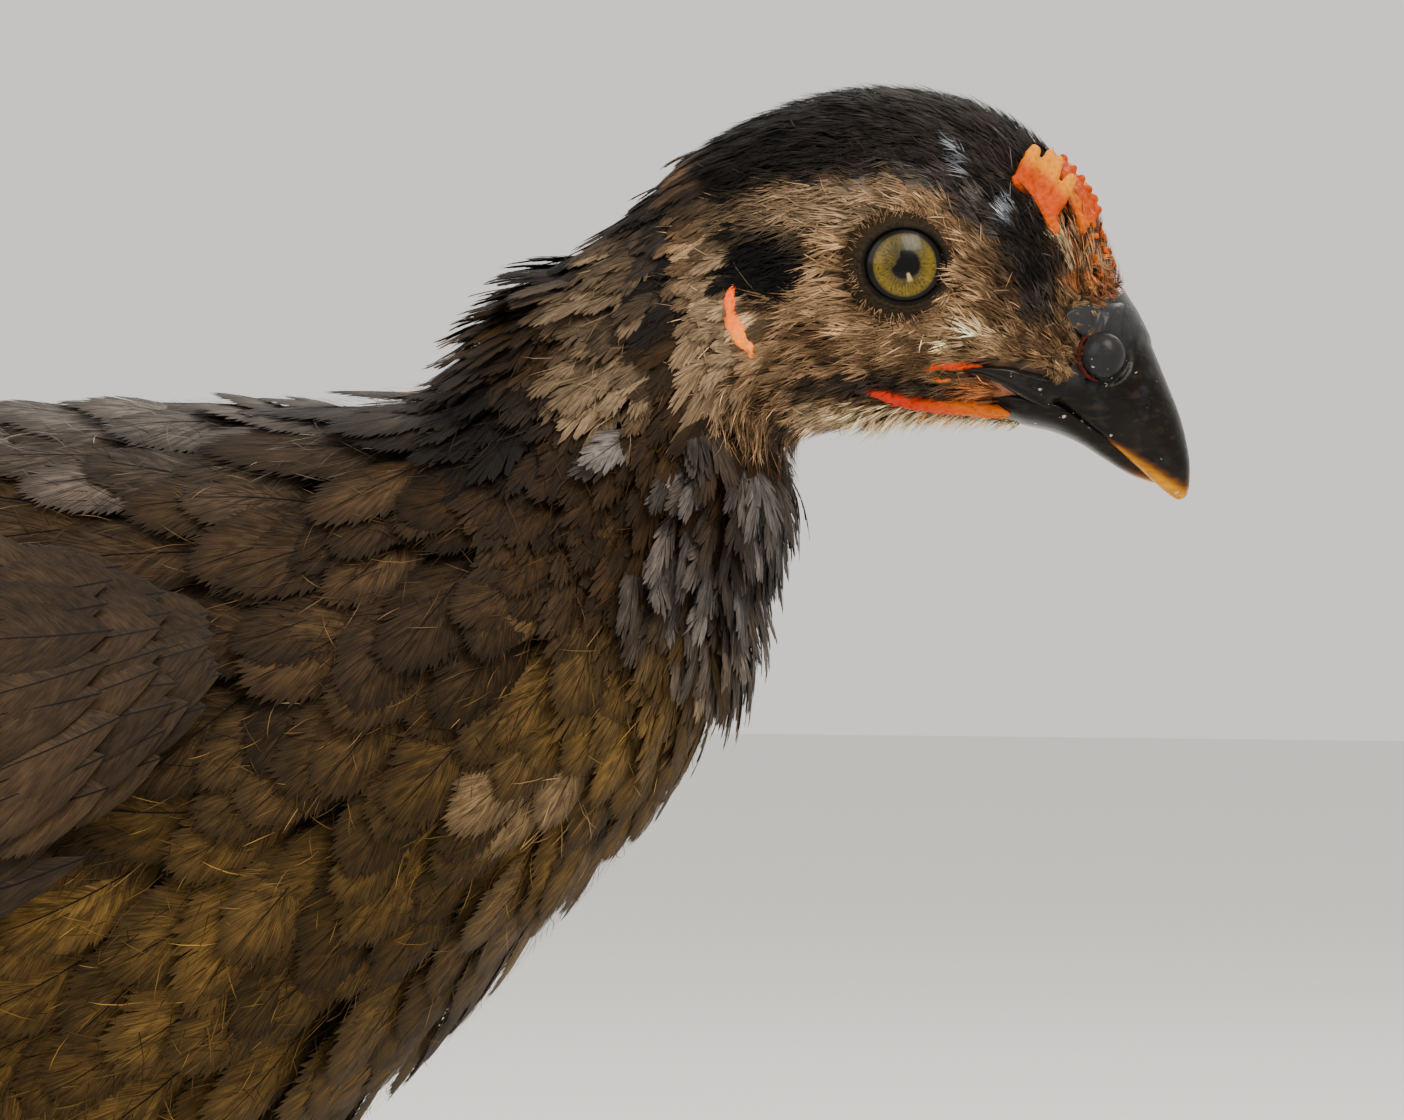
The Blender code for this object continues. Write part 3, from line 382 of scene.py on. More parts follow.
def markings(places):
    """The bird's colour at places in the profile, the same for her skin and for the coat over it, with some
    painted highlights and a painted sheen among its markings.
    """
    x, y, z = places[:, 0], np.abs(places[:, 1]), places[:, 2]
    ragged, fine, broad = wobble(places, 5.0, 11), wobble(places, 2.2, 12), wobble(places, 24, 13)
    on_right = places[:, 1] < 0
    colours = np.tile(OLIVE, (len(places), 1))

    def paint(tint, share):
        nonlocal colours
        colours = blend(colours, tint, share)

    def patch(tint, centre, radii, soft, share, noise=0.0, shift_x=1.0, shift_z=0.0):
        paint(tint, spot(x + shift_x * noise, z + shift_z * noise, centre, radii, soft) * share)

    paint(OLIVE_LIGHT, 0.30 + 0.45 * broad)
    paint(SHOULDER, smooth(150, 180, z + 4 * ragged + 0.15 * (60 - x)) * 0.95)
    paint(BELLY_GREY, (1 - smooth(96, 122, z + 4 * ragged)) * smooth(20, -20, x))
    paint(BACK_GREY, smooth(187, 193, z + 2 * ragged) * (1 - smooth(44, 50, x)) * 0.8)
    patch(OLIVE_LIGHT * 1.25, (67.0, 165.0), (9.0, 8.0), 0.6, 0.55, ragged, 2.0)
    # A bluish-grey tint on the crop that paints a cool sheen.
    patch(BLUE_GREY * 1.5, (79.0, 181.5), (5.0, 8.0), 0.6, 0.75, ragged)

    # The neck, dark with beige patches.
    neck = smooth(40, 52, x + 0.35 * (z - 190) + 1.5 * ragged) * smooth(174, 186, z + 0.25 * (x - 60))
    paint(NECK_DARK, neck)
    patch(BLACK * 1.2, (53.0, 194.0), (9.0, 5.5), 0.5, 0.9)
    patch(NAPE_BROWN, (64.0, 212.0), (12.0, 9.0), 0.4, 1.0)
    patch(NECK_BEIGE * 0.7, (64.0, 208.0), (4.2, 5.0), 0.6, 0.8, ragged, 1.8, 1.0)
    patch(NECK_BEIGE, (65.5, 198.0), (5.0, 3.8), 0.5, 0.85, ragged, 1.2, 0.8)
    patch(BLACK * 2, (70.2, 209.5), (2.3, 7.0), 0.4, 0.85, fine, 0.6)

    # The face, beige in streaks and palest round the eye and at the neck.
    face = smooth(71.5, 74.5, x + 0.20 * (z - 205) + fine) * smooth(190, 193, z + 0.4 * ragged)
    paint(FACE_BROWN, face)
    paint(FACE_BEIGE, face * (0.50 + 0.50 * ragged + 0.40 * fine))
    ring = spot(np.hypot(x - EYE[0], z - EYE[2]), 0 * z, (7.6, 0), (1.7, 1), 0.6)
    paint(FACE_BEIGE * 1.25, ring * (0.55 + 0.35 * smooth(2, -3, x - 94) + 0.3 * fine) * (y > 5))
    patch(NECK_BEIGE * 1.4, (75.8, 204.5), (2.7, 8.5), 0.5, 0.9, fine, 0.5)

    # The crown, black-brown, greyer towards its edge and its front.
    brow = z - np.interp(x, *BROW_LINE)
    crown = smooth(-0.9, 1.1, brow + 0.9 * fine) * smooth(66, 70, x)
    patch(NAPE_BROWN * 4, (88.5, 215.6), (5.0, 2.0), 0.7, 0.55)
    crown *= 1 - smooth(108.0, 110.0, x - 0.25 * (z - 206)) * 0.9
    paint(CROWN_BROWN, crown)
    paint(CROWN_BROWN * 4.2, crown * smooth(86, 97, x) * np.clip(0.55 + 0.6 * fine, 0, 1))
    paint(NAPE_BROWN * 1.6, crown * np.clip(0.6 * ragged + 0.3 * broad - 0.1, 0, 0.7))
    edge = crown * (1 - smooth(1.5, 4.0, brow)) * smooth(93, 96, x)
    paint(BACK_GREY * 0.8, edge * np.clip(0.6 + 0.5 * fine, 0, 0.95))

    # Black ear coverts and lore, painted bluish highlights on the crown's right side, and the pale flecks.
    ear = spot(x + 0.4 * fine, z + 0.4 * ragged, (80.6, 210.6), (5.0, 4.8), 0.16)
    paint(BLACK * 0.5, np.maximum(ear, spot(x, z, (74.6, 217.0), (4.6, 3.4), 0.3) * 0.9))
    patch(BLACK * 2.2, (105.6, 211.5), (2.4, 6.0), 0.5, 0.75 * (y > 3.0))
    patch(NAPE_BROWN * 4, (103.4, 222.6), (2.2, 3.0), 0.6, 0.7, fine, 0.4)
    # Painted highlights: two small bluish glints on the crown, on the right side only.
    patch(CROWN_GLINT, (99.4, 220.9), (0.6, 1.7), 0.5, 0.9 * on_right, z - 221, 0.5)
    patch(CROWN_GLINT, (104.3, 215.2), (0.55, 1.5), 0.5, 0.9 * on_right)
    patch(CREAM * 1.2, (100.2, 203.0), (3.8, 1.1), 0.6, np.clip(0.15 + 0.9 * fine, 0, 1) * face, fine, 0.6)
    patch(NECK_BEIGE * 1.5, (86.0, 215.6), (9.0, 2.4), 0.6, (1 - crown) * 0.5)

    # The mouth's dark line and orange corner, the cream chin, and pale down on the breast.
    line = 1 - smooth(0.5, 1.3, np.abs(z - np.interp(x, *MOUTH_LINE) + 0.3 * fine))
    paint(BLACK * 3, line * smooth(80, 84, x) * (1 - smooth(102, 104, x)) * 0.85 * (y > 4))
    patch(FOREHEAD_ORANGE * 1.4, (101.8, 197.5), (2.8, 1.1), 0.5, 0.85 * (y > 3), fine, 0.4)
    chin = (1 - smooth(194.6, 196.4, z + 0.5 * ragged)) * smooth(81.5, 84.5, x) * smooth(192.8, 194.2, z)
    paint(CREAM, chin * (0.75 + 0.25 * fine))
    patch(PALE_DOWN, (59.5, 157.5), (3.2, 3.8), 0.6, 0.8, ragged, 1.0, 1.0)
    patch(PALE_DOWN, (54.5, 141.0), (4.0, 4.5), 0.7, 0.35, ragged, 1.0, 1.0)
    paint(FOREHEAD_ORANGE, forehead_area(x, z + 0.4 * fine) * (0.75 + 0.5 * fine))
    return np.clip(colours * (1 + 0.15 * fine[:, None]), 0.001, 1)


def coat_depth(u, angle):
    """How deep the skin lies under the coat's outline, in millimetres."""
    low = smooth(0.5, -0.6, np.cos(angle))
    body = 3.0 * smooth(2.0, 5.0, u) * (1 - smooth(11.0, 16.0, u)) + 0.8
    belly = 1.2 * low * smooth(3.0, 6.0, u) * (1 - smooth(9.0, 12.0, u))
    return body + belly + 0.5 * smooth(10, 13, u) * (1 - smooth(15, 17.5, u))


# Materials


class Material:
    """A material with short calls for its nodes. A value is a number, a colour or another node's socket."""

    def __init__(self, name):
        self.made = bpy.data.materials.new(name)
        self.made.use_nodes = True
        self.tree = self.made.node_tree

    def put(self, socket, value):
        if isinstance(value, bpy.types.NodeSocket):
            self.tree.links.new(value, socket)
        elif value is not None:
            socket.default_value = value

    def node(self, kind, values=None, **settings):
        made = self.tree.nodes.new("ShaderNode" + kind)
        for key, setting in settings.items():
            setattr(made, key, setting)
        for key, value in (values or {}).items():
            self.put(made.inputs[key], value)
        return made

    def finish(self, values):
        """Sets the shader's sockets and hands over the material."""
        shader = self.tree.nodes["Principled BSDF"]
        for key, value in values.items():
            self.put(shader.inputs[key], value)
        return self.made

    def math(self, operation, a, b=0.0, c=0.0):
        return self.node("Math", {0: a, 1: b, 2: c}, operation=operation).outputs[0]

    def times(self, a, b):
        return self.math("MULTIPLY", a, b)

    def plus(self, a, b):
        return self.math("ADD", a, b)

    def minus(self, a, b):
        return self.math("SUBTRACT", a, b)

    def scaled(self, a, factor, offset):
        return self.math("MULTIPLY_ADD", a, factor, offset)

    def combine(self, x, y, z):
        return self.node("CombineXYZ", {0: x, 1: y, 2: z}).outputs[0]

    def split(self, vector):
        return self.node("SeparateXYZ", {0: vector}).outputs

    def attribute(self, name, output="Fac"):
        return self.node("Attribute", attribute_name=name).outputs[output]

    def place(self):
        return self.node("TexCoord").outputs["Object"]

    def mix(self, share, a, b, kind="MIX"):
        a, b = (end if isinstance(end, bpy.types.NodeSocket) else (*end[:3], 1.0) for end in (a, b))
        return self.node("Mix", {0: share, 6: a, 7: b}, data_type="RGBA", blend_type=kind).outputs[2]

    def layers(self, colour, *layers):
        """A colour with others laid over it in turn, each by its own share."""
        for share, tint in layers:
            colour = self.mix(share, colour, tint)
        return colour

    def noise(self, scale, detail, vector, rough=0.5):
        values = {"Scale": scale, "Detail": detail, "Roughness": rough, "Vector": vector}
        return self.node("TexNoise", values).outputs["Fac"]

    def voronoi(self, scale, vector, feature="F1"):
        made = self.node("TexVoronoi", {"Scale": scale, "Vector": vector}, feature=feature)
        return made.outputs["Distance"]

    def step(self, value, low, high, start=0.0, end=1.0):
        values = {0: value, 1: low, 2: high, 3: start, 4: end}
        return self.node("MapRange", values, interpolation_type="SMOOTHSTEP").outputs[0]

    def bump(self, height, strength, distance, normal=None):
        values = {"Strength": strength, "Distance": distance, "Height": height, "Normal": normal}
        return self.node("Bump", values).outputs[0]


def feather_material(name, edge_dark, gloss, roughness, streaks, contrast, root_painted_shade=0.35):
    """A feather: its own tint, streaked along its barbs, with a dark shaft, a dark margin, and painted shade
    towards its root, where the feathers over it would shadow it.

    The attribute vane holds how far across the vane a point lies, which barb it is on, and a random number.
    """
    g = Material(name)
    cut, barb, chance = g.split(g.attribute("vane", "Vector"))
    grain = g.combine(g.times(barb, streaks), g.times(cut, 2.2), g.times(chance, 97.0))
    streak = g.noise(1.0, 4.0, grain, 0.7)
    patch = g.combine(g.times(barb, 0.16 * streaks), g.times(cut, 3.5), g.times(chance, 41.0))
    clumps = g.noise(1.0, 2.0, patch)
    shade = g.times(g.step(streak, 0.30, 0.70, 1 - contrast, 1 + contrast), g.scaled(chance, 0.35, 0.82))
    shade = g.times(shade, g.step(clumps, 0.3, 0.7, 1 - 0.7 * contrast, 1 + 0.7 * contrast))
    # Painted shade: darker towards the root, where the feathers laid over it would cast their shadow.
    shade = g.times(shade, g.step(g.attribute("along"), 0.05, 0.55, root_painted_shade, 1.0))
    grey = g.node("CombineColor", {0: shade, 1: shade, 2: shade}).outputs[0]
    colour = g.layers(
        g.mix(1.0, g.attribute("tint", "Color"), grey, "MULTIPLY"),
        (g.times(g.step(g.scaled(clumps, 0.55, cut), 0.80, 1.35), edge_dark), BLACK * 0.8),
        (g.step(cut, -0.3, -0.6), BLACK * 0.5),
    )
    return g.finish({
        "Base Color": colour, "Roughness": roughness, "Specular IOR Level": gloss, "Sheen Weight": 0.01,
        "Sheen Roughness": 0.4, "Normal": g.bump(streak, 0.45, 0.00018),
    })


def skin_material():
    """The skin that shows only between feathers: the coat's markings darkened as painted shade, with a
    darker grain.
    """
    g = Material("skin")
    tint = g.attribute("tint", "Color")
    grain = g.noise(900.0, 5.0, g.place())
    painted_shade, dark = (g.mix(1.0, tint, shade, "MULTIPLY") for shade in ((0.35, 0.32, 0.30), (0.25, 0.22, 0.2)))
    colour = g.layers(tint, (0.45, painted_shade), (g.step(grain, 0.35, 0.7, 0.0, 0.5), dark))
    return g.finish({"Base Color": colour, "Roughness": 0.7, "Normal": g.bump(grain, 0.6, 0.0003)})


def bare_skin_material(name, low, high, roughness, soft, gloss, grain=0.8):
    """Bare skin between two colours by the attribute hue, grained, with a little light passing through."""
    g = Material(name)
    place = g.place()
    broad, fine = g.noise(520.0, 4.0, place), g.voronoi(1600.0, place)
    hue = g.plus(g.attribute("hue"), g.scaled(broad, grain, -0.5 * grain))
    colour = g.mix(g.step(hue, 0.0, 1.0), low, high)
    deep = g.mix(1.0, colour, (0.45, 0.35, 0.3), "MULTIPLY")
    colour = g.mix(g.step(fine, 0.55, 0.15, 0.0, 0.35), colour, deep)
    return g.finish({
        "Base Color": colour, "Roughness": roughness, "Subsurface Weight": soft,
        "Subsurface Radius": (0.003, 0.0008, 0.0003), "Subsurface Scale": 0.3, "Specular IOR Level": gloss,
        "Normal": g.bump(fine, 0.5, 0.00025, g.bump(broad, 0.5, 0.0006)),
    })


def bill_material():
    """Slate horn with growth lines and scratches, amber at the cutting edge and the tip."""
    g = Material("bill_horn")
    place = g.place()
    grain = {"Vector": place, "Rotation": (0, math.radians(55), 0), "Scale": (0.22, 1.0, 1.0)}
    lines = g.noise(1300.0, 5.0, g.node("Mapping", grain).outputs[0])
    cloud = g.noise(230.0, 4.0, place)
    flakes = g.step(g.noise(1100.0, 2.0, place), 0.70, 0.75)
    slate = g.times(g.attribute("slate"), g.step(cloud, 0.2, 0.6, 0.55, 1.0))
    amber = g.plus(g.attribute("amber"), g.scaled(lines, 0.5, -0.25))
    horn = g.mix(g.step(lines, 0.3, 0.7), (0.56, 0.25, 0.003), (0.32, 0.105, 0.002))
    colour = g.layers(
        g.mix(g.step(cloud, 0.3, 0.7), (0.0020, 0.0014, 0.0009), (0.0060, 0.0043, 0.0029)),
        # Painted highlights: pale slate blotches over the dark horn.
        (g.step(g.noise(420.0, 4.0, place), 0.55, 0.72, 0.0, 0.6), (0.015, 0.016, 0.018)),
        (g.step(lines, 0.50, 0.72, 0.0, 0.5), (0.020, 0.014, 0.009)),
        (slate, (0.0215, 0.0215, 0.0225)),
        (g.step(amber, 0.04, 0.50), (0.080, 0.024, 0.003)),
        (g.step(amber, 0.35, 0.95), horn),
        (g.times(flakes, 0.7), (0.50, 0.40, 0.28)),
    )
    return g.finish({
        "Base Color": colour, "Roughness": g.step(lines, 0.2, 0.8, 0.20, 0.38), "Specular IOR Level": 0.11,
        "Normal": g.bump(g.plus(g.times(lines, 0.6), flakes), 0.6, 0.00012),
    })


def eye_material():
    """A yellow-olive iris with rays and specks, a black pupil and rim, under a clear wet coat. Painted into
    its colour are the lid's shadow with a bluish reflection over the upper iris, a notch of reflection in
    the pupil and a pale glint at the pupil's lower edge.

    The attribute iris holds how far a point is from the eye's axis, and the cosine and sine of its turn.
    """
    g = Material("eye_wet")
    radius, turn_a, turn_b = g.split(g.attribute("iris", "Vector"))
    polar = g.combine(g.times(radius, 0.55), g.times(turn_a, 4.2), g.times(turn_b, 4.2))
    rays = g.noise(3.2, 5.0, polar, 0.65)
    specks = g.voronoi(2600.0, g.place())
    # A painted reflection: a notch cut into the pupil's upper edge.
    reflection_notch = g.minus(g.times(turn_b, 0.45), g.times(turn_a, 0.89))
    ragged = g.scaled(rays, 0.9, g.scaled(g.step(reflection_notch, 0.66, 0.92), 0.55, radius))
    # A painted glint: a small pale spot at the pupil's lower edge.
    painted_glint = g.step(g.minus(g.times(turn_a, 0.30), g.times(turn_b, 0.954)), 0.975, 0.998)
    painted_glint = g.times(painted_glint, g.times(g.step(radius, 0.75, 1.0), g.step(radius, 1.9, 1.5)))
    colour = g.layers(
        g.mix(g.step(radius, 1.2, 2.8), (0.043, 0.032, 0.008), (0.112, 0.076, 0.008)),
        (g.step(rays, 0.45, 0.72, 0.0, 0.8), (0.022, 0.015, 0.003)),
        (g.step(rays, 0.48, 0.30, 0.0, 0.6), (0.200, 0.142, 0.018)),
        (g.times(g.step(specks, 0.36, 0.12), 0.7), (0.013, 0.012, 0.010)),
        # Painted shadow of the upper lid, with a painted bluish reflection over the upper iris.
        (g.step(turn_b, 0.15, 0.95, 0.0, 0.5), (0.024, 0.026, 0.022)),
        (g.step(radius, 2.75, 3.15, 0.0, 0.6), (0.040, 0.027, 0.005)),
        (g.step(ragged, 2.02, 1.78), (0.002, 0.002, 0.002)),
        (g.times(painted_glint, 0.85), (0.36, 0.26, 0.10)),
        (g.step(radius, 3.02, 3.22), (0.004, 0.0035, 0.003)),
    )
    return g.finish({
        "Base Color": colour, "Roughness": 0.25, "Specular IOR Level": 0.1,
        "Coat Weight": 0.10, "Coat Roughness": 0.05, "Coat IOR": 1.34,
    })


def leg_material():
    """Slate scales: broad scutes down the front of the shank and along the toes, small cells elsewhere."""
    g = Material("leg_scales")
    place = g.place()
    x, y, z = g.split(place)
    normal_x, _, normal_z = g.split(g.node("NewGeometry").outputs["Normal"])
    cloud = g.noise(180.0, 4.0, place)
    across = g.math("SQRT", g.plus(g.times(x, x), g.times(y, y)))
    on_toe = g.step(z, 0.016, 0.010)
    on_shank = g.minus(1.0, on_toe)
    height = g.plus(g.times(z, on_shank), g.times(across, on_toe))
    rings = g.math("FRACT", g.plus(g.times(height, 360.0), g.times(cloud, 0.9)))
    seam = g.times(g.step(rings, 0.0, 0.16), g.step(rings, 1.0, 0.93))
    cells = g.step(g.voronoi(620.0, place, "DISTANCE_TO_EDGE"), 0.0, 0.12)
    front = g.math("MAXIMUM", g.times(g.step(normal_x, 0.25, 0.45), on_shank),
                   g.times(g.step(normal_z, 0.35, 0.6), on_toe))
    plates = g.plus(g.times(seam, front), g.times(cells, g.minus(1.0, front)))
    colour = g.layers(
        g.mix(g.step(cloud, 0.3, 0.7), (0.042, 0.047, 0.037), (0.022, 0.026, 0.023)),
        (g.step(plates, 0.9, 0.2, 0.0, 0.75), (0.008, 0.008, 0.007)),
        (g.times(g.step(rings, 0.30, 0.17, 0.0, 0.5), front), (0.105, 0.105, 0.080)),
    )
    return g.finish({
        "Base Color": colour, "Roughness": g.step(cloud, 0.3, 0.7, 0.34, 0.55), "Specular IOR Level": 0.3,
        "Normal": g.bump(plates, 0.6, 0.0004),
    })


def claw_material():
    """Dark horn with growth lines along the claw and a paler, worn point."""
    g = Material("claw_horn")
    lines, cloud = g.noise(900.0, 4.0, g.place()), g.noise(300.0, 3.0, g.place())
    colour = g.mix(g.step(cloud, 0.3, 0.7), (0.040, 0.031, 0.022), (0.016, 0.013, 0.010))
    colour = g.mix(g.step(lines, 0.55, 0.75, 0.0, 0.5), colour, (0.12, 0.095, 0.065))
    return g.finish({
        "Base Color": colour, "Roughness": g.step(lines, 0.3, 0.7, 0.32, 0.5),
        "Normal": g.bump(lines, 0.3, 0.0002),
    })


# The skin

SKIN_SIDES = 200
LEG_SIDES, LEG_RINGS = 72, 60
# Brow, hollow before the eye, cheek, and hollow behind the eye: height, centre, radii and softness.
FACE_FORMS = (
    (0.7, (91.0, 217.8), (8.0, 1.6), 0.8),
    (-0.9, (103.5, 209.0), (3.0, 4.0), 0.9),
    (0.5, (96.0, 201.8), (7.0, 1.8), 0.8),
    (-0.8, (83.0, 208.5), (2.4, 2.8), 0.7),
)


def eye_axes(side):
    """The eye's centre, and its directions forward, up and out, for points of the profile."""
    out = unit(np.array((math.sin(EYE_TURN), side * math.cos(EYE_TURN), 0.04)))
    forward = unit(np.cross((0, 0, 1), out))
    return EYE * (1, side, 1), np.stack([forward, np.cross(out, forward), out])


def leg_rows(path, side):
    """A leg's sections on one side: the middle, the radius ahead and the radius across."""
    return np.array([(c[0], side * c[1], c[2], tall, wide) for c, tall, wide in path])


def round_leg(row, along, angle):
    """Points round a leg's sections, given the direction down the leg."""
    across = unit(np.cross(along, (1.0, 0, 0)))
    front = np.cross(along, across) * (row[..., 3] * np.cos(angle))[..., None]
    return row[..., :3] + front + across * (row[..., 4] * np.sin(angle))[..., None]


def leg_tube(path, side):
    """A smooth tube down a leg, as a grid of points."""
    row = rows_at(leg_rows(path, side), np.linspace(0, len(path) - 1, LEG_RINGS))
    along = unit(np.gradient(row[:, :3], axis=0))
    turn = np.linspace(0, 2 * math.pi, LEG_SIDES, endpoint=False)
    return round_leg(row[:, None], along[:, None], turn)


def face_relief(points, out):
    """The face's low forms, and the socket that the eyeball fills."""
    x, y, z = points[:, 0], np.abs(points[:, 1]), points[:, 2]
    lift = sum(height * spot(x, z, *form) * smooth(4.0, 8.0, y) for height, *form in FACE_FORMS)
    points = points + out * lift[:, None]
    for side in SIDES.values():
        centre, axes = eye_axes(side)
        local = (points - centre) @ axes.T
        radius = np.hypot(local[:, 0], local[:, 1])
        cap = 3.0 + 30 * smooth(4.4, 7.5, radius) ** 2
        near = (radius < 8.5) & (local[:, 2] > 0)
        local[near, 2] = np.minimum(local[near, 2], cap[near])
        points = np.where(near[:, None], local @ axes + centre, points)
    return points


def build_skin():
    """One surface from the tail's root to the bill and down to the hocks, under the coat by its depth."""
    u = np.concatenate([np.linspace(0, 15.75, 96), np.linspace(16, FACE, 190)])
    uu, aa = grid_of(u, np.linspace(-math.pi, math.pi, SKIN_SIDES, endpoint=False))
    place, out, _, _ = skin_frame(uu, aa)
    points = face_relief(place - out * coat_depth(uu, aa)[:, None], out)
    look = skin_material()
    skin = mesh_piece("skin", *capped(points, len(u), SKIN_SIDES), look, body=None)
    for side in SIDES.values():
        path = [(c, tall - inset, wide - inset)
                for (c, tall, wide), inset in zip((*THIGH, HOCK_INSIDE), THIGH_INSETS)]
        leg = mesh_piece("leg_skin", *capped(leg_tube(path, side), LEG_RINGS, LEG_SIDES), look, body=None)
        union = skin.modifiers.new("union", "BOOLEAN")
        union.operation, union.solver, union.object = "UNION", "MANIFOLD", leg
        apply_modifiers(skin)
        bpy.data.objects.remove(leg)
    skin.data.shade_smooth()
    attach(skin, "root")
    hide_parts("torso", "neck", "head", "thigh_right", "thigh_left")
    add_attribute(skin, "tint", markings(mesh_places(skin)), "FLOAT_COLOR")


def apply_modifiers(piece):
    """Makes what the modifiers show the piece's own mesh."""
    merged = bpy.data.meshes.new_from_object(piece.evaluated_get(bpy.context.evaluated_depsgraph_get()))
    piece.modifiers.clear()
    piece.data = merged


def mesh_places(piece):
    """A piece's points in the profile."""
    flat = np.empty(len(piece.data.vertices) * 3, np.float32)
    piece.data.vertices.foreach_get("co", flat)
    return flat.reshape(-1, 3).astype(float) / MM - (SHIFT, 0, 0)


# Feathers

PIECE_LIMIT = 190000
BAKE_PATCH = 0.003


def outline_width(share, widest, root):
    """A vane's half width along it, rounded at the tip."""
    before = root + (1 - root) * smooth(0, widest, share)
    after = math.sqrt(max(0.0, 1 - ((share - widest) / (1 - widest)) ** 2))
    return float(before) if share < widest else after


def vane_template(barbs, seed, reach=0.22, widest=0.55, root=0.45, ragged=1.0, fill=1.3, ridge=0.012):
    """One feather, as barbs that leave its shaft on both sides and end in points.

    Each point has its share of the length, its share of the half width, a small lift of its own, how far out
    on its barb it is (-1 on the shaft) and which barb it is on.
    """
    draw = np.random.default_rng(seed)
    points, faces = [], []
    round_from = (widest - reach) / (1 - reach)

    def curve(q, cut):
        start = 0.01 + (0.97 - reach) * q
        if q < round_from:
            end = reach + (1 - reach) * q
            width = outline_width(end, widest, root)
        else:
            turn = (q - round_from) / (1 - round_from) * math.pi / 2
            end, width = widest + (1 - widest) * math.sin(turn), math.cos(turn)
        return start + (end - start) * cut ** 1.25, width * cut

    for side in (-1, 1):
        clumps = np.cumsum(draw.normal(size=barbs)) * 0.35
        for k in range(barbs):
            q, half = (k + 0.5) / barbs, 0.5 * fill / barbs
            shift = ragged * ((clumps[k] - clumps.mean()) * 0.35 + draw.normal() * 0.3) / barbs
            far = 1 + ragged * draw.uniform(-0.12, 0.05)
            first = len(points)
            for cut, narrow in ((0.0, 1.0), (0.55, 1.0), (0.88, 0.8)):
                for edge in (-1, 1):
                    at = np.clip(q + shift * cut ** 2 + edge * half * narrow, 0, 1)
                    along, across = curve(at, cut * far)
                    points.append((along, side * across, edge * ridge, cut, side * (q + edge * half)))
            along, across = curve(np.clip(q + shift * 1.2, 0, 1), far)
            points.append((along, side * across, draw.uniform(-0.03, 0.03), 1.0, side * q))
            for a, b, c in ((0, 1, 2), (1, 3, 2), (2, 3, 4), (3, 5, 4), (4, 5, 6)):
                a, b, c = (a, b, c) if side > 0 else (a, c, b)
                faces.append((first + a, first + b, first + c))
    first, steps = len(points), 7
    for k in range(steps):
        share = k / steps
        wide = 0.020 * (1 - 0.7 * share)
        points += [(share * 0.97, edge * wide, 0.05, -1.0, 0.0) for edge in (-1, 1)]
    points.append((0.97, 0.0, 0.03, -1.0, 0.0))
    return np.array(points), np.array(faces + strip(first, steps))


def strip(first, steps):
    """A ribbon's triangles over pairs of points, closed by a single point at its end."""
    faces = []
    for a in range(first, first + 2 * steps - 2, 2):
        faces += [(a, a + 2, a + 1), (a + 1, a + 2, a + 3)]
    last = first + 2 * steps - 2
    return faces + [(last, last + 2, last + 1)]


def tuft_template(strands, seed, thin=0.17, spread=1.0, cuts=(0.0, 0.55), curl=0.0):
    """A fan of tapered strands from one root."""
    draw = np.random.default_rng(seed)
    points, faces = [], []
    for k in range(strands):
        lean = spread * ((k + 0.5) / strands * 2 - 1) + draw.normal() * 0.12
        reach, start = draw.uniform(0.72, 1.0), draw.uniform(-0.2, 0.2)
        bow = curl * draw.normal()
        faces += strip(len(points), len(cuts))
        for cut in cuts:
            middle = start + (lean - start) * cut ** 0.8 + bow * math.sin(math.pi * cut)
            wide = thin * (1 - 0.35 * cut)
            for edge in (-1, 1):
                points.append((cut * reach, middle + edge * wide, 0.02 * (edge > 0), 0.3, k + 0.4 * edge))
        points.append((reach, lean, draw.uniform(-0.1, 0.1), 0.3, k))
    return np.array(points), np.array(faces)


def rooted(low, high, gaps, seed):
    """Roots over the trunk from one place along it to another, in staggered rows.

    gaps holds places along the trunk and the spacing asked for at each.
    """
    draw = np.random.default_rng(seed)
    turns = np.linspace(-math.pi, math.pi, 721)
    us, angles = [], []
    u = low
    while u < high:
        _, _, along, around = skin_frame(np.full(len(turns), u), turns)
        gap = float(np.interp(u, *gaps))
        long, wide = np.linalg.norm(along, axis=1), np.linalg.norm(around, axis=1)
        step = float(np.min(gap / long))
        density = wide / gap * np.minimum(1, long * step / gap)
        total = np.concatenate([[0], np.cumsum((density[1:] + density[:-1]) / 2 * (turns[1] - turns[0]))])
        marks = np.arange(draw.uniform(), total[-1], 1.0)
        marks = marks + draw.uniform(-0.3, 0.3, len(marks))
        angles.append(np.interp(marks, total, turns))
        us.append(u + draw.uniform(-0.45, 0.45, len(marks)) * step)
        u += step
    return np.clip(np.concatenate(us), low, high), np.concatenate(angles)


def around_the_eye(places, out, flow):
    """Turns the lie of the coat aside where it would run over the eye."""
    away = places * (1, 0, 1) - EYE * (1, 0, 1)
    far = np.linalg.norm(away, axis=1)
    away /= np.maximum(far, 1e-6)[:, None]
    share = np.exp(-np.clip(far - 5.0, 0, None) / 2.6) * (np.abs(places[:, 1]) > 5)
    inward = np.minimum(np.sum(flow * away, axis=1), 0)
    tangent = np.stack([-away[:, 2], 0 * far, away[:, 0]], 1)
    tangent *= np.where(tangent[:, 0] > 0, -1.0, 1.0)[:, None]
    aside = flow + (share * -inward)[:, None] * (1.25 * away + 0.8 * tangent)
    aside -= out * np.sum(aside * out, axis=1)[:, None]
    return unit(aside)


def surface_steps(along, around):
    """A call that says how far u and the angle change over a step in space along a surface."""
    e, f, g = (np.sum(p * q, axis=1) for p, q in ((along, along), (along, around), (around, around)))
    scale = 1 / np.maximum(e * g - f * f, 1e-9)

    def steps(v):
        by_u, by_angle = np.sum(v * along, 1), np.sum(v * around, 1)
        return scale * (g * by_u - f * by_angle), scale * (e * by_angle - f * by_u)

    return steps


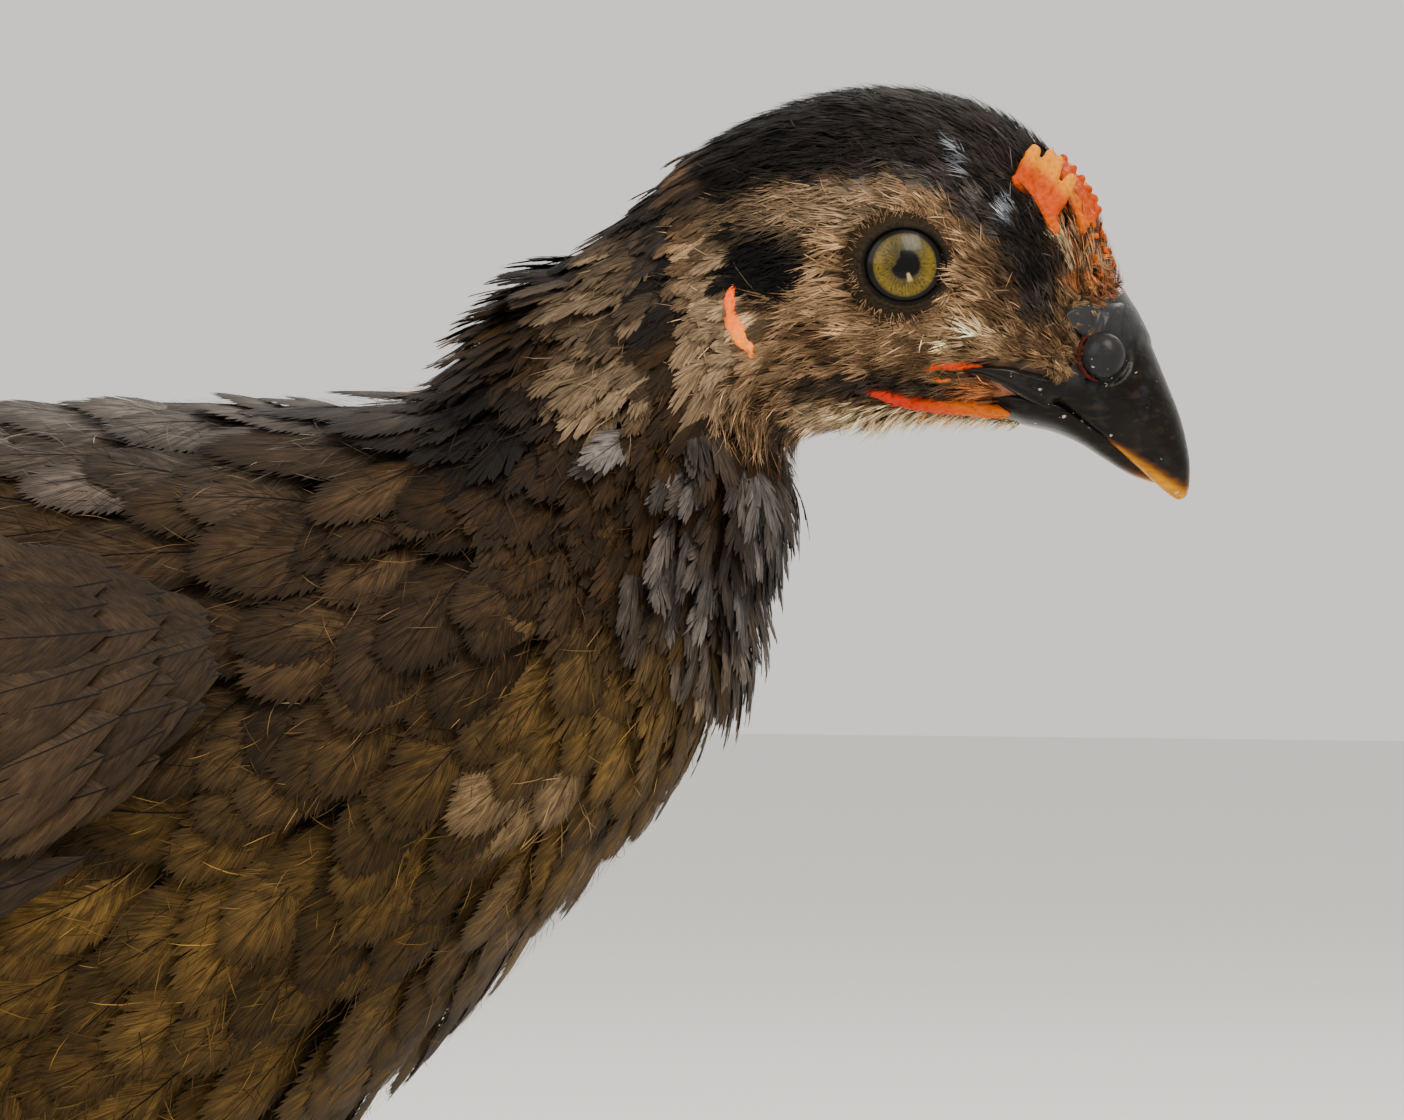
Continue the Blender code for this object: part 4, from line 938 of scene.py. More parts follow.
def lay_feathers(name, roots, templates, length, half_width, lifts, tints, look, slot="plumage",
                 surface=None, turn=0.0, camber=0.10, sway=0.0, rise_power=1.6, bake=None):
    """Lays a feather at each root, following the surface towards the tail.

    lifts are the heights of its root and its tip over the surface, and turn is how far it points aside.
    """
    frame_of = surface or skin_frame
    u0, a0 = roots
    count = len(u0)
    length, half_width, turn, sway, root_lift, tip_lift = (
        np.broadcast_to(np.asarray(v, float), count) for v in (length, half_width, turn, sway, *lifts))
    place, out, along, around = frame_of(u0, a0)
    flow = unit(-along)
    if surface is None:
        flow = around_the_eye(place, out, flow)
    heading = flow * np.cos(turn)[:, None] + np.cross(out, flow) * np.sin(turn)[:, None]
    to_u, to_a = surface_steps(along, around)(heading * (0.5 * length)[:, None])
    _, out, along, around = frame_of(u0 + np.clip(to_u, -1, 1), a0 + np.clip(to_a, -0.7, 0.7))
    heading = unit(heading - out * np.sum(heading * out, 1)[:, None])
    steps = surface_steps(along, around)
    moves = (*steps(heading), *steps(np.cross(out, heading)))
    draw = np.random.default_rng(len(name) * 977 + count)
    pick = draw.integers(len(templates), size=count)
    chance = draw.uniform(size=count)
    tilt = draw.normal(size=count) * 0.06
    homes = bake_place(u0, a0) if bake is None else bake
    pieces = max(1, math.ceil(count * len(templates[0][1]) / PIECE_LIMIT))
    for part, members in enumerate(np.array_split(np.argsort(u0, kind="stable"), pieces)):
        points, faces, colours, vanes, shares, spots, start = [], [], [], [], [], [], 0
        for kind, (shape, triangles) in enumerate(templates):
            mine = members[pick[members] == kind]
            if not len(mine):
                continue
            tau, omega, own, cut, barb = shape.T
            u, angle, long_u, long_a, wide_u, wide_a, far, half, bend, low, high, lean = (
                v[mine, None] for v in (u0, a0, *moves, length, half_width, sway, root_lift, tip_lift, tilt))
            s = tau * far
            w = omega * half + bend * far * tau ** 2
            lift = low + (high - low) * (1 - np.clip(1 - tau, 0, 1) ** rise_power)
            lift = lift - camber * half * omega ** 2 + own * np.minimum(half, 1.6)
            lift = lift + lean * omega * half
            base, up, _, _ = frame_of((u + long_u * s + wide_u * w).ravel(),
                                      (angle + long_a * s + wide_a * w).ravel())
            points.append(base + up * lift.ravel()[:, None])
            shift = start + np.arange(len(mine))[:, None, None] * len(shape)
            faces.append((triangles[None] + shift).reshape(-1, 3))
            start += len(mine) * len(shape)
            colours.append(np.repeat(tints[mine], len(shape), axis=0))
            vanes.append(np.stack([np.tile(cut, len(mine)), np.tile(barb, len(mine)),
                                   np.repeat(chance[mine], len(shape))], -1))
            shares.append(np.tile(tau, len(mine)))
            patch = np.tile(bake_patch(shape), (len(mine), 1))
            spots.append(np.repeat(homes[mine], len(shape), axis=0) + patch)
        label = name if pieces == 1 else f"{name}_{part + 1}"
        piece = mesh_piece(label, np.vstack(points), np.vstack(faces), look, slot=slot)
        add_feather_marks(piece, *map(np.concatenate, (colours, vanes, shares, spots)))


def bake_place(u, angle):
    """Where a root lies on the skin's own unwrap."""
    return np.stack([0.02 + 0.95 * u / FACE, 0.02 + 0.95 * ((angle / (2 * math.pi) + 0.5) % 1.0)], -1)


def bake_patch(shape):
    """A feather's own small patch on the map, from its root's place."""
    return np.stack([shape[:, 0], 0.5 + shape[:, 1] / 2], -1) * BAKE_PATCH


def varied(tints, amount, seed):
    """Each feather a little lighter or darker than its neighbours."""
    draw = np.random.default_rng(seed)
    return np.clip(tints * np.exp(draw.normal(size=(len(tints), 1)) * amount), 0.001, 0.9)


def tip_places(roots, length, share=0.6):
    """About where the shown part of each feather lies."""
    place, _, along, _ = skin_frame(*roots)
    return place - unit(along) * np.asarray(length * share)[..., None]


def seen_through_wing(place):
    """The trunk's side under the folded wing, where no feather would show."""
    x, y, z = place[:, 0], np.abs(place[:, 1]), place[:, 2]
    return (x > -80) & (x < 14) & (z > 140 - 0.10 * x) & (z < 172 - 0.06 * x) & (y > 12)


def keep(roots, mask):
    """The roots that a mask picks."""
    return roots[0][mask], roots[1][mask]


def within(x, z, outline, margin):
    """Whether a place in profile lies between an outline's upper and lower edges."""
    stations, highs, lows = np.array(outline).T
    high, low = np.interp(x, stations, highs), np.interp(x, stations, lows)
    return (z < high + margin) & (z > low - margin) & (x > stations[0] + 0.5)


def bare_face(place):
    """Where the head carries no feathers: the lids, the comb, the corners of the mouth and the horn."""
    x, y, z = place[:, 0], np.abs(place[:, 1]), place[:, 2]
    eye = (np.hypot(x - EYE[0] - 0.8, z - EYE[2]) < 4.6) & (y > 6)
    comb = (forehead_area(x, z) > 0.4) & (z > 216.2)
    gape = (np.abs(z - np.interp(x, *FOLD_LINE)) < 0.8) & (x > 90) & (y > 4)
    lobe = (np.hypot((x - 79.6) / 2.4, (z - 204.6) / 3.6) < 1) & (y > 8)
    horn = within(x, z, WEDGE, 0.25) & (x > 102) | within(x, z, HOOD, -0.1)
    horn |= within(x, z, JAW, 0.2) & (x > 103.4)
    under_horn = (x > 104.2) & (z < 195.6)
    return eye | comb | gape | lobe | (horn & (y > 3)) | under_horn


# The coat

body_look = feather_material("body_feathers", 0.60, 0.07, 0.65, 110.0, 0.60)
quill_look = feather_material("flight_feathers", 0.45, 0.10, 0.5, 110.0, 0.45, 0.7)
neck_look = feather_material("neck_feathers", 0.3, 0.08, 0.6, 26.0, 0.5)
tuft_look = feather_material("head_tufts", 0.0, 0.06, 0.5, 3.0, 0.6)
down_look = feather_material("down", 0.0, 0.05, 0.7, 2.0, 0.5)

body_vanes = [vane_template(28, 100 + k, reach=0.26, ragged=0.5, fill=1.5, ridge=0.008) for k in range(6)]
neck_vanes = [vane_template(8, 120 + k, reach=0.34, widest=0.5, ragged=1.2, fill=1.1) for k in range(5)]
head_tufts = [tuft_template(8, 140 + k, thin=0.115, curl=0.22) for k in range(6)]
strands = [tuft_template(1, 160 + k, thin=0.9, spread=0.0, cuts=(0.0, 0.4, 0.75)) for k in range(3)]
chin_tufts = [tuft_template(3, 190 + k, thin=0.16) for k in range(4)]


def coat_body():
    """The contour feathers of the body, rounded and laid like tiles."""
    places = (2.0, 5.0, 9.0, 11.0, 12.6)
    roots = rooted(2.6, 12.4, (places, (4.4, 6.2, 6.4, 5.2, 3.6)), 21)
    roots = keep(roots, ~seen_through_wing(skin_frame(*roots)[0]))
    u, count = roots[0], len(roots[0])
    draw = np.random.default_rng(22)
    size = np.exp(draw.normal(size=count) * 0.10)
    length = np.interp(u, places, (16.0, 21.0, 21.0, 17.0, 12.5)) * size
    half = np.interp(u, places, (4.0, 5.4, 5.5, 4.5, 3.0)) * size
    tints = varied(markings(tip_places(roots, length)), 0.2, 23)
    lifts = (0.3 - coat_depth(*roots), 0.3 + draw.normal(size=count) * 0.38)
    lay_feathers("body_coat", roots, body_vanes, length, half, lifts, tints, body_look,
                 turn=draw.normal(size=count) * 0.19, camber=0.11)


def coat_saddle():
    """Longer feathers that carry the back's line over the rump and the tail's root."""
    draw = np.random.default_rng(26)
    count = 110
    u, angle = draw.uniform(3.3, 4.7, count), draw.normal(size=count) * 0.75
    length = draw.uniform(17.0, 23.0, count)
    tints = varied(markings(tip_places((u, angle), length)), 0.2, 27)
    bridge = (1 - smooth(3.6, 4.7, u)) * np.clip(np.cos(angle), 0, 1)
    half = draw.uniform(3.6, 4.8, count)
    lifts = (-1.0, 1.2 + 4.2 * bridge + draw.uniform(-0.5, 0.5, count))
    lay_feathers("saddle_coat", (u, angle), body_vanes, length, half, lifts, tints, body_look,
                 turn=draw.normal(size=count) * 0.13, camber=0.13, rise_power=1.2)


def coat_neck():
    """Shorter, narrower feathers from the shoulders to the nape."""
    places = (12.0, 14.0, 16.0, 17.2)
    roots = rooted(12.0, 17.2, (places, (2.6, 1.9, 1.35, 1.1)), 31)
    roots = keep(roots, ~((np.abs(roots[1]) > 2.2) & (roots[0] > 14.9)))
    u, count = roots[0], len(roots[0])
    draw = np.random.default_rng(32)
    size = np.exp(draw.normal(size=count) * 0.13)
    length = np.interp(u, places, (11.5, 9.5, 7.0, 5.5)) * size
    half = np.interp(u, places, (2.5, 1.75, 1.2, 0.95)) * size
    tints = varied(markings(tip_places(roots, length)), 0.28, 33)
    lifts = (0.3 - coat_depth(*roots), 0.25 + draw.normal(size=count) * 0.3)
    lay_feathers("neck_coat", roots, neck_vanes, length, half, lifts, tints, neck_look,
                 turn=draw.normal(size=count) * 0.16, camber=0.12)


def coat_head():
    """Small soft tufts over crown and face."""
    places = (16.8, 19.0, 22.0, 24.0)
    roots = rooted(14.4, 23.85, (places, (1.05, 0.86, 0.72, 0.62)), 41)
    roots = keep(roots, (roots[0] > 16.8) | (np.abs(roots[1]) > 2.1))
    roots = keep(roots, ~bare_face(skin_frame(*roots)[0]))
    u, count = roots[0], len(roots[0])
    draw = np.random.default_rng(42)
    size = np.exp(draw.normal(size=count) * 0.18)
    length = np.interp(u, places, (5.2, 4.3, 3.2, 2.2)) * size
    length = np.where(np.abs(roots[1]) > 2.1, np.minimum(length, 3.4), length)
    half = np.interp(u, places, (1.0, 0.85, 0.65, 0.5)) * size
    tints = varied(markings(tip_places(roots, length, 0.45)), 0.3, 43)
    place = skin_frame(*roots)[0]
    bristly = forehead_area(place[:, 0], place[:, 2]) > 0.5
    kind = draw.uniform(size=count)
    tints[bristly & (kind < 0.25)] = FACE_BROWN * 0.7
    tints[bristly & (kind > 0.66)] = CREAM * 0.6
    kept = ~bristly | (draw.uniform(size=count) < 0.55)
    roots, count = keep(roots, kept), kept.sum()
    lifts = (0.1 - coat_depth(*roots), 0.15 + draw.normal(size=count) * 0.2)
    lay_feathers("head_coat", roots, head_tufts, length[kept], half[kept], lifts, tints[kept], tuft_look,
                 slot="head_plumage", turn=draw.normal(size=count) * 0.2, camber=0.05)


def coat_ruffles():
    """The feathers that stand a little out: the tuft on the nape and the puff in front of the crop."""
    draw = np.random.default_rng(51)
    count = 150
    u, angle = draw.uniform(12.5, 14.7, count), draw.normal(size=count) * 0.42
    length = draw.uniform(6.0, 9.0, count)
    tints = varied(markings(tip_places((u, angle), length)) * 1.15, 0.35, 52)
    half, lifts = draw.uniform(0.9, 1.5, count), (-1.2, draw.uniform(0.8, 3.8, count))
    lay_feathers("nape_tuft", (u, angle), neck_vanes, length, half, lifts, tints, neck_look,
                 turn=draw.normal(size=count) * 0.25, rise_power=1.1)
    count = 260
    u, angle = draw.uniform(12.3, 14.6, count), turned(math.pi + draw.normal(size=count) * 0.55)
    length = draw.uniform(7.5, 11.5, count)
    # The crop puff's feathers tinted bluish grey as a painted cool sheen.
    tints = blend(markings(tip_places((u, angle), length)), BLUE_GREY * 2.0, draw.uniform(size=count) * 0.7)
    tints = varied(tints, 0.35, 53)
    half, lifts = draw.uniform(1.3, 2.1, count), (-1.6, draw.uniform(0.6, 3.4, count))
    lay_feathers("crop_puff", (u, angle), neck_vanes, length, half, lifts, tints, neck_look,
                 turn=draw.normal(size=count) * 0.3, rise_power=1.1)


def coat_chin():
    """Cream bristles under the jaw, with orange ones near the corner of the mouth."""
    draw = np.random.default_rng(55)
    count = 1200
    u, angle = draw.uniform(17.6, 23.7, count), turned(math.pi + draw.normal(size=count) * 0.42)
    length = draw.uniform(1.8, 3.9, count) * np.interp(u, (17.4, 19, 23.7), (1.2, 1.0, 0.6))
    orange = (draw.uniform(size=count) < 0.15) * (u > 19)
    tints = blend(np.tile(CREAM, (count, 1)), BRISTLE_ORANGE, orange)
    tints = blend(tints, FACE_BROWN, (draw.uniform(size=count) < 0.25) * 0.8)
    place = skin_frame(u, angle)[0]
    under = (place[:, 2] < np.interp(place[:, 0], *CHIN_LINE)) & (place[:, 0] < 104.7)
    u, angle, length, tints = u[under], angle[under], length[under], tints[under]
    count = len(u)
    lifts = (-0.6, draw.uniform(0.5, 2.3, count) * np.interp(u, (17.6, 21.0, 23.7), (1.0, 0.8, 0.35)))
    lay_feathers("chin_bristles", (u, angle), chin_tufts, length, 0.5, lifts, varied(tints * 1.6, 0.3, 56),
                 tuft_look, slot="head_plumage", turn=draw.normal(size=count) * 0.35, rise_power=1.1)


def coat_wisps():
    """Fine loose barbs over neck, shoulders and breast, and short bristles over the face."""
    loose = rooted(4.0, 17.0, ((4.0, 7.0, 11.0, 14.0, 17.0), (2.6, 1.75, 1.5, 1.35, 1.2)), 61)
    short = rooted(17.0, 23.9, ((17.0, 24.0), (0.95, 0.8)), 62)
    for name, roots, length, half, rise, bright, spread in (
        ("wisps", loose, (2.2, 6.5), 0.05, (0.1, 0.9), 1.5, 0.55),
        ("face_bristles", short, (1.5, 3.2), 0.06, (0.1, 0.75), 1.15, 0.45),
    ):
        place = skin_frame(*roots)[0]
        roots = keep(roots, ~bare_face(place) & ~seen_through_wing(place))
        draw = np.random.default_rng(63)
        count = len(roots[0])
        reach = draw.uniform(*length, count)
        tints = varied(markings(tip_places(roots, reach, 0.3)) * bright, 0.55, 64)
        tints[draw.uniform(size=count) < 0.3] *= 0.35
        # Some strands in the black areas made lighter: partly paler barbs, partly painted glossy highlights.
        tints[(tints.mean(1) < 0.008) & (draw.uniform(size=count) < 0.35)] *= 4.0
        lay_feathers(name, roots, strands, reach, half, (-0.3, draw.uniform(*rise, count)), tints, down_look,
                     slot="head_plumage", turn=draw.normal(size=count) * spread,
                     sway=draw.normal(size=count) * 0.22, rise_power=1.2)


def coat_bill_edge():
    """Small tufts that close the face's edge against the bill, lying every way."""
    draw = np.random.default_rng(66)
    u, angle = draw.uniform(23.0, 23.95, 620), draw.uniform(-2.5, 2.5, 620)
    u, angle = keep((u, angle), ~bare_face(skin_frame(u, angle)[0]) & (np.abs(angle) > 0.35))
    count = len(u)
    tints = varied(markings(skin_frame(u, angle)[0]), 0.4, 67)
    length, lifts = draw.uniform(1.0, 1.9, count), (-0.5, draw.uniform(0.1, 0.7, count))
    lay_feathers("bill_edge_tufts", (u, angle), head_tufts, length, 0.35, lifts, tints, tuft_look,
                 slot="head_plumage", turn=math.pi + draw.normal(size=count) * 0.8)


build_skin()
coat_body()
coat_saddle()
coat_neck()
coat_head()
coat_ruffles()
coat_chin()
coat_wisps()
coat_bill_edge()

# Wings and tail

# The folded wing, in tiers from the flight feathers up to the small coverts. Root and tip are x and the
# angle round the trunk in half turns, each for the topmost and the lowest feather.
WING_TIERS = (
    {"half": 5.0, "tilt": 1.1, "lifts": (2.2, 2.1, 2.6), "bow": -5.0,
     "roots": ((-18.0, 0.26), (2.0, 0.535)), "tips": ((-73.0, 0.30), (-100.0, 0.485))},
    {"half": 4.6, "tilt": 0.9, "lifts": (3.4, 5.4, 5.6), "bow": -3.0,
     "roots": ((2.0, 0.275), (13.0, 0.52)), "tips": ((-39.0, 0.275), (-52.0, 0.52))},
    {"half": 4.2, "tilt": 0.8, "lifts": (4.6, 7.4, 7.6), "bow": -2.0,
     "roots": ((10.0, 0.28), (19.0, 0.51)), "tips": ((-17.0, 0.27), (-26.0, 0.52))},
)
WING_ROW = 10
flight_vanes = [vane_template(34, seed, reach=0.16, widest=0.6, root=0.5, ragged=0.5, fill=1.25)
                for seed in range(200, 203)]
covert_vanes = [vane_template(20, seed, reach=0.2, widest=0.5, root=0.5, ragged=0.7, fill=1.2)
                for seed in range(210, 213)]


def facing(triangles, side):
    """Faces made for the right side, turned round for the left one."""
    return triangles if side == RIGHT else triangles[:, ::-1]


def quills(name, feathers, replaced):
    """Joins separately placed flight feathers or coverts into one piece."""
    points, faces, colours, vanes, shares, spots, start = [], [], [], [], [], [], 0
    draw = np.random.default_rng(len(feathers))
    for shape, triangles, place, tint, home in feathers:
        points.append(place)
        faces.append(triangles + start)
        start += len(place)
        shade = np.exp(draw.normal() * 0.12)
        colours.append(np.tile(tint * shade, (len(place), 1)))
        vanes.append(np.stack([shape[:, 3], shape[:, 4], np.full(len(place), draw.uniform())], -1))
        shares.append(shape[:, 0])
        spots.append(np.asarray(home) + bake_patch(shape))
    piece = mesh_piece(name, np.vstack(points), np.vstack(faces), quill_look, slot="plumage")
    add_feather_marks(piece, *map(np.concatenate, (colours, vanes, shares, spots)))
    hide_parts(replaced)


def wing_feather(side, shape, root, tip, half, tilt, lifts):
    """A feather laid along the trunk's side, its lower edge out and its upper edge in."""
    tau, omega, own = shape[:, 0], shape[:, 1], shape[:, 2]
    x, angle = between(root, tip, tau)
    u, angle = u_at(x), math.pi * angle
    around = skin_frame(u, angle)[3]
    angle = angle + omega * half / np.linalg.norm(around, axis=1)
    lift = np.interp(tau, (0.0, 0.55, 1.0), lifts) + tilt * omega + own - 0.5 * omega ** 2
    return on_trunk(u, angle, lift) * (1, -side, 1)


def wing_home(side, root):
    """A wing feather's place on the map OFBake."""
    return bake_place(u_at(np.array([root[0]])), np.array([root[1] * math.pi * -side]))[0]


def coat_wing(name, side):
    """A folded wing: its tiers, and rows of small feathers over the shoulder."""
    feathers = []
    draw = np.random.default_rng(51)
    for row, tier in enumerate(WING_TIERS):
        kinds = covert_vanes if row else flight_vanes
        for share in np.arange(WING_ROW) / (WING_ROW - 1):
            root, tip = between(*tier["roots"], share), between(*tier["tips"], share)
            tip = (tip[0] + tier["bow"] * math.sin(math.pi * share) + draw.normal() * 1.2, tip[1])
            shape, triangles = kinds[draw.integers(len(kinds))]
            place = wing_feather(side, shape, root, tip, tier["half"], tier["tilt"], tier["lifts"])
            tint = SHOULDER * 0.9 + OLIVE * 0.25 * (row == 0)
            feathers.append((shape, facing(triangles, side), place, tint, wing_home(side, root)))
    for row in range(7):
        for k in range(9 + row % 2):
            share = (k + 0.5 * (row % 2)) / 9
            x = 4.0 + 4.4 * row + draw.normal() * 0.7
            if share > 1:
                continue
            low = np.interp(x, (4, 22, 34), (0.285, 0.305, 0.38))
            high = np.interp(x, (4, 22, 34), (0.52, 0.49, 0.43))
            root = (x, low + (high - low) * share)
            length = np.interp(x, (4, 34), (21.0, 13.0)) * draw.uniform(0.9, 1.1)
            shape, triangles = body_vanes[draw.integers(len(body_vanes))]
            swell = 1 - (2 * share - 1) ** 4 * 0.6
            deep = 1.4 + np.interp(x, (4, 12, 22, 34), (7.2, 7.6, 6.0, 0.4)) * swell
            tip = (x - length, root[1] + draw.normal() * 0.012)
            half, lifts = np.interp(x, (4, 34), (4.4, 3.6)), (deep - 1.2, deep + 0.6, deep + 0.7)
            place = wing_feather(side, shape, root, tip, half, 0.25, lifts)
            tint = markings(place)[0] * 0.3 + SHOULDER * 0.7
            feathers.append((shape, facing(triangles, side), place, tint, wing_home(side, root)))
    quills(name, feathers, name.replace("coat_", ""))


def tail_feather(side, shape, root, rise, length, half, tilt, offsets, droop):
    """A feather of the folded tail, standing on edge beside the bird's middle plane."""
    tau, omega, own = shape[:, 0], shape[:, 1], shape[:, 2]
    rise = math.radians(rise)
    along = np.array((-math.cos(rise), 0, math.sin(rise)))
    down = np.array((-math.sin(rise), 0, -math.cos(rise)))
    middle = np.array((root[0], 0, root[1])) + along * length * tau[:, None]
    middle[:, 2] -= droop * tau ** 2
    place = middle + down * (half * omega)[:, None]
    offset = offsets[0] + (offsets[1] - offsets[0]) * np.minimum(1.0, 2.0 * tau) + 1.2 * tau
    place[:, 1] = side * (offset + tilt * omega + 0.6 * own + 0.35)
    return place


def coat_tail():
    """Six pairs of tail feathers folded like a tent, with coverts over their roots."""
    feathers = []
    draw = np.random.default_rng(61)
    shares = [k / 5 for k in range(6)]

    def add(feather, tint, home, *measures):
        shape, triangles = feather
        place = tail_feather(side, shape, *measures)
        feathers.append((shape, facing(triangles, side), place, tint, home))

    for side in SIDES.values():
        for share in shares:
            add(flight_vanes[draw.integers(3)], SHOULDER, (0.03, 0.3 + 0.25 * share),
                (-121.0, 182.5 - 7.0 * share), 40 - 31 * share, 74.0 * (1 - 0.16 * share), 6.6, 2.2,
                (2.55 + 0.6 * share, 2.55 + 3.2 * share), 3.0)
        add(flight_vanes[draw.integers(3)], SHOULDER * 1.1, (0.03, 0.28),
            (-122.0, 186.5), 39.0, 71.0, 4.4, 2.7, (2.5, 1.8), 3.0)
        for row in range(4):
            add(covert_vanes[draw.integers(3)], SHOULDER * 1.1, (0.05 + 0.02 * row, 0.27),
                (-118.5 + 4.5 * row, 186.0 - 0.3 * row), 34.0 - 3.0 * row, 36.0 - 4.0 * row, 4.4, 2.9,
                (2.7, 2.4), 2.0)
        for row in range(3):
            for share in shares:
                add(covert_vanes[draw.integers(3)], SHOULDER * 1.1, (0.05 + 0.02 * row, 0.3 + 0.25 * share),
                    (-113.5 + 5 * row, 182.5 + 0.8 * row - (9.0 + row) * share),
                    33 - 26 * share + draw.normal() * 2, 36.0 - 4 * share - 4 * row, 4.8, 1.0,
                    (3.6 + 0.8 * share + 0.7 * row, 6.0 + 2.6 * share + 0.9 * row), 2.0)
    quills("coat_tail", feathers, "tail")


# Legs


def thigh_frame(side):
    """The thigh's surface in the same terms as the trunk's, with u from the hip down to the hock."""
    rows = leg_rows((*THIGH, HOCK_OUTSIDE), side)

    def row_at(u):
        return rows_at(rows, np.clip(u, 0, len(rows) - 1))

    def point(u, angle):
        along = unit(row_at(u + 0.05)[..., :3] - row_at(u - 0.05)[..., :3])
        return round_leg(row_at(u), along, angle)

    def surface(u, angle):
        place = point(u, angle)
        along, around = slopes(point, u, angle, 0.03)
        # Feathers are laid against this direction, so it's turned round for them to point down the leg.
        along = -along
        out = unit(np.cross(around, along))
        out *= np.where(np.sum(out * (place - row_at(u)[..., :3]), axis=-1) < 0, -1.0, 1.0)[..., None]
        return place, out, along, around

    return surface


def coat_thigh(name, side):
    """Softer, paler feathers down the thigh to the hock."""
    draw = np.random.default_rng(71)
    us, angles = [], []
    for u in np.arange(0.35, 5.5, 0.15):
        count = int(np.interp(u, (0, 2, 3, 4, 5), (26, 24, 18, 13, 12)))
        turns = (np.arange(count) + draw.uniform()) / count * 2 * math.pi
        angles.append(turns + draw.normal(size=count) * 0.05)
        us.append(np.full(count, u) + draw.uniform(-0.06, 0.06, count))
    u, angle = np.concatenate(us), np.concatenate(angles)
    count = len(u)
    length = np.interp(u, (0, 2, 3.5, 5), (15.0, 13.0, 9.0, 5.5)) * np.exp(draw.normal(size=count) * 0.1)
    half = np.interp(u, (0, 2, 3.5, 5), (3.8, 3.2, 2.2, 1.3))
    paler = smooth(0.8, 3.0, u + draw.normal(size=count) * 0.3) * 0.8
    tints = varied(blend(np.tile(OLIVE, (count, 1)), BELLY_GREY, paler), 0.2, 72)
    # The thighs have a strip of the map OFBake of their own.
    bake = np.stack([0.30 + 0.04 * u, 0.30 + 0.2 * (side > 0) + 0.15 * (angle / 6.3 % 1)], -1)
    root_lift = np.interp(u, (0, 3.5, 5.0), (-2.0, -2.0, -1.0))
    tip_lift = np.interp(u, (0, 4.0, 5.0), (0.2, 0.2, 0.5)) + draw.normal(size=count) * 0.3
    lay_feathers(name, (u, angle), neck_vanes, length, half, (root_lift, tip_lift), tints, body_look,
                 surface=thigh_frame(side), turn=draw.normal(size=count) * 0.12, camber=0.12, bake=bake)


# Eyes, bill, comb and bare skin

EYE_SIDES, LID_SIDES = 96, 192
# The lids in section, from their inner edge out: how far from the eye's axis, and how far out along it.
LIDS = np.array((
    (3.68, 4.55), (3.74, 4.86), (3.82, 5.06), (3.94, 5.16), (4.08, 5.13), (4.20, 5.00), (4.32, 4.97),
    (4.46, 5.02), (4.58, 4.96), (4.70, 4.82), (4.82, 4.78), (4.96, 4.80), (5.10, 4.68), (5.24, 4.50),
    (5.40, 4.36), (5.60, 4.14), (5.85, 3.80), (6.15, 3.30), (6.50, 2.60), (6.90, 1.70),
))


def build_eye(name, side, eye_look, lid_look):
    """The eyeball, with how far each point lies from its axis, and both lids as one wrinkled ring."""
    centre, axes = eye_axes(side)
    polar = np.concatenate([np.linspace(0, 1.0, 70), np.linspace(1.05, math.pi, 30)])
    pp, tt = grid_of(polar, np.linspace(0, 2 * math.pi, EYE_SIDES, endpoint=False))
    local = np.stack([np.sin(pp) * np.cos(tt), np.sin(pp) * np.sin(tt), np.cos(pp)], -1) * EYE_RADIUS
    faces = grid_faces(len(polar), EYE_SIDES, closed=True)
    eye = mesh_piece(name, local @ axes + centre, facing(faces, side), eye_look, slot="eye")
    radius = np.where(pp < math.pi / 2, np.sin(pp), 1) * EYE_RADIUS
    add_attribute(eye, "iris", np.stack([radius, np.cos(tt), np.sin(tt)], -1), "FLOAT_VECTOR")
    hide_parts(name.replace("ball", "eye"))

    turn = np.linspace(0, 2 * math.pi, LID_SIDES, endpoint=False)
    draw = np.random.default_rng(81)
    wave, fine = (sum(draw.normal() * np.sin(n * turn + draw.uniform(0, 6.28)) for n in waves) * height
                  for waves, height in (((3, 5, 7, 11), 0.035), ((23, 31, 44, 57), 0.04)))
    rings = len(LIDS)
    waves = draw.integers(34, 60, rings)[:, None] * turn
    beads = np.sin(waves + draw.uniform(0, 6.28, rings)[:, None]) * 0.075
    far, out = LIDS[:, :1], LIDS[:, 1:]
    reach = far[0] + (far - far[0]) * 0.9 + wave * smooth(4.0, 5.0, far)
    tall = out + (fine + beads) * smooth(4.0, 4.4, far) + 0.15 * np.abs(np.sin(turn))
    local = np.stack([reach * np.cos(turn) * 1.03, reach * np.sin(turn) * 0.95, tall], -1).reshape(-1, 3)
    faces = facing(grid_faces(rings, LID_SIDES, closed=True), -side)
    lids = mesh_piece(name.replace("ball", "lids"), local @ axes + centre, faces, lid_look, slot="bare_skin")
    add_attribute(lids, "hue", np.repeat(smooth(3.8, 4.5, LIDS[:, 0]), LID_SIDES))


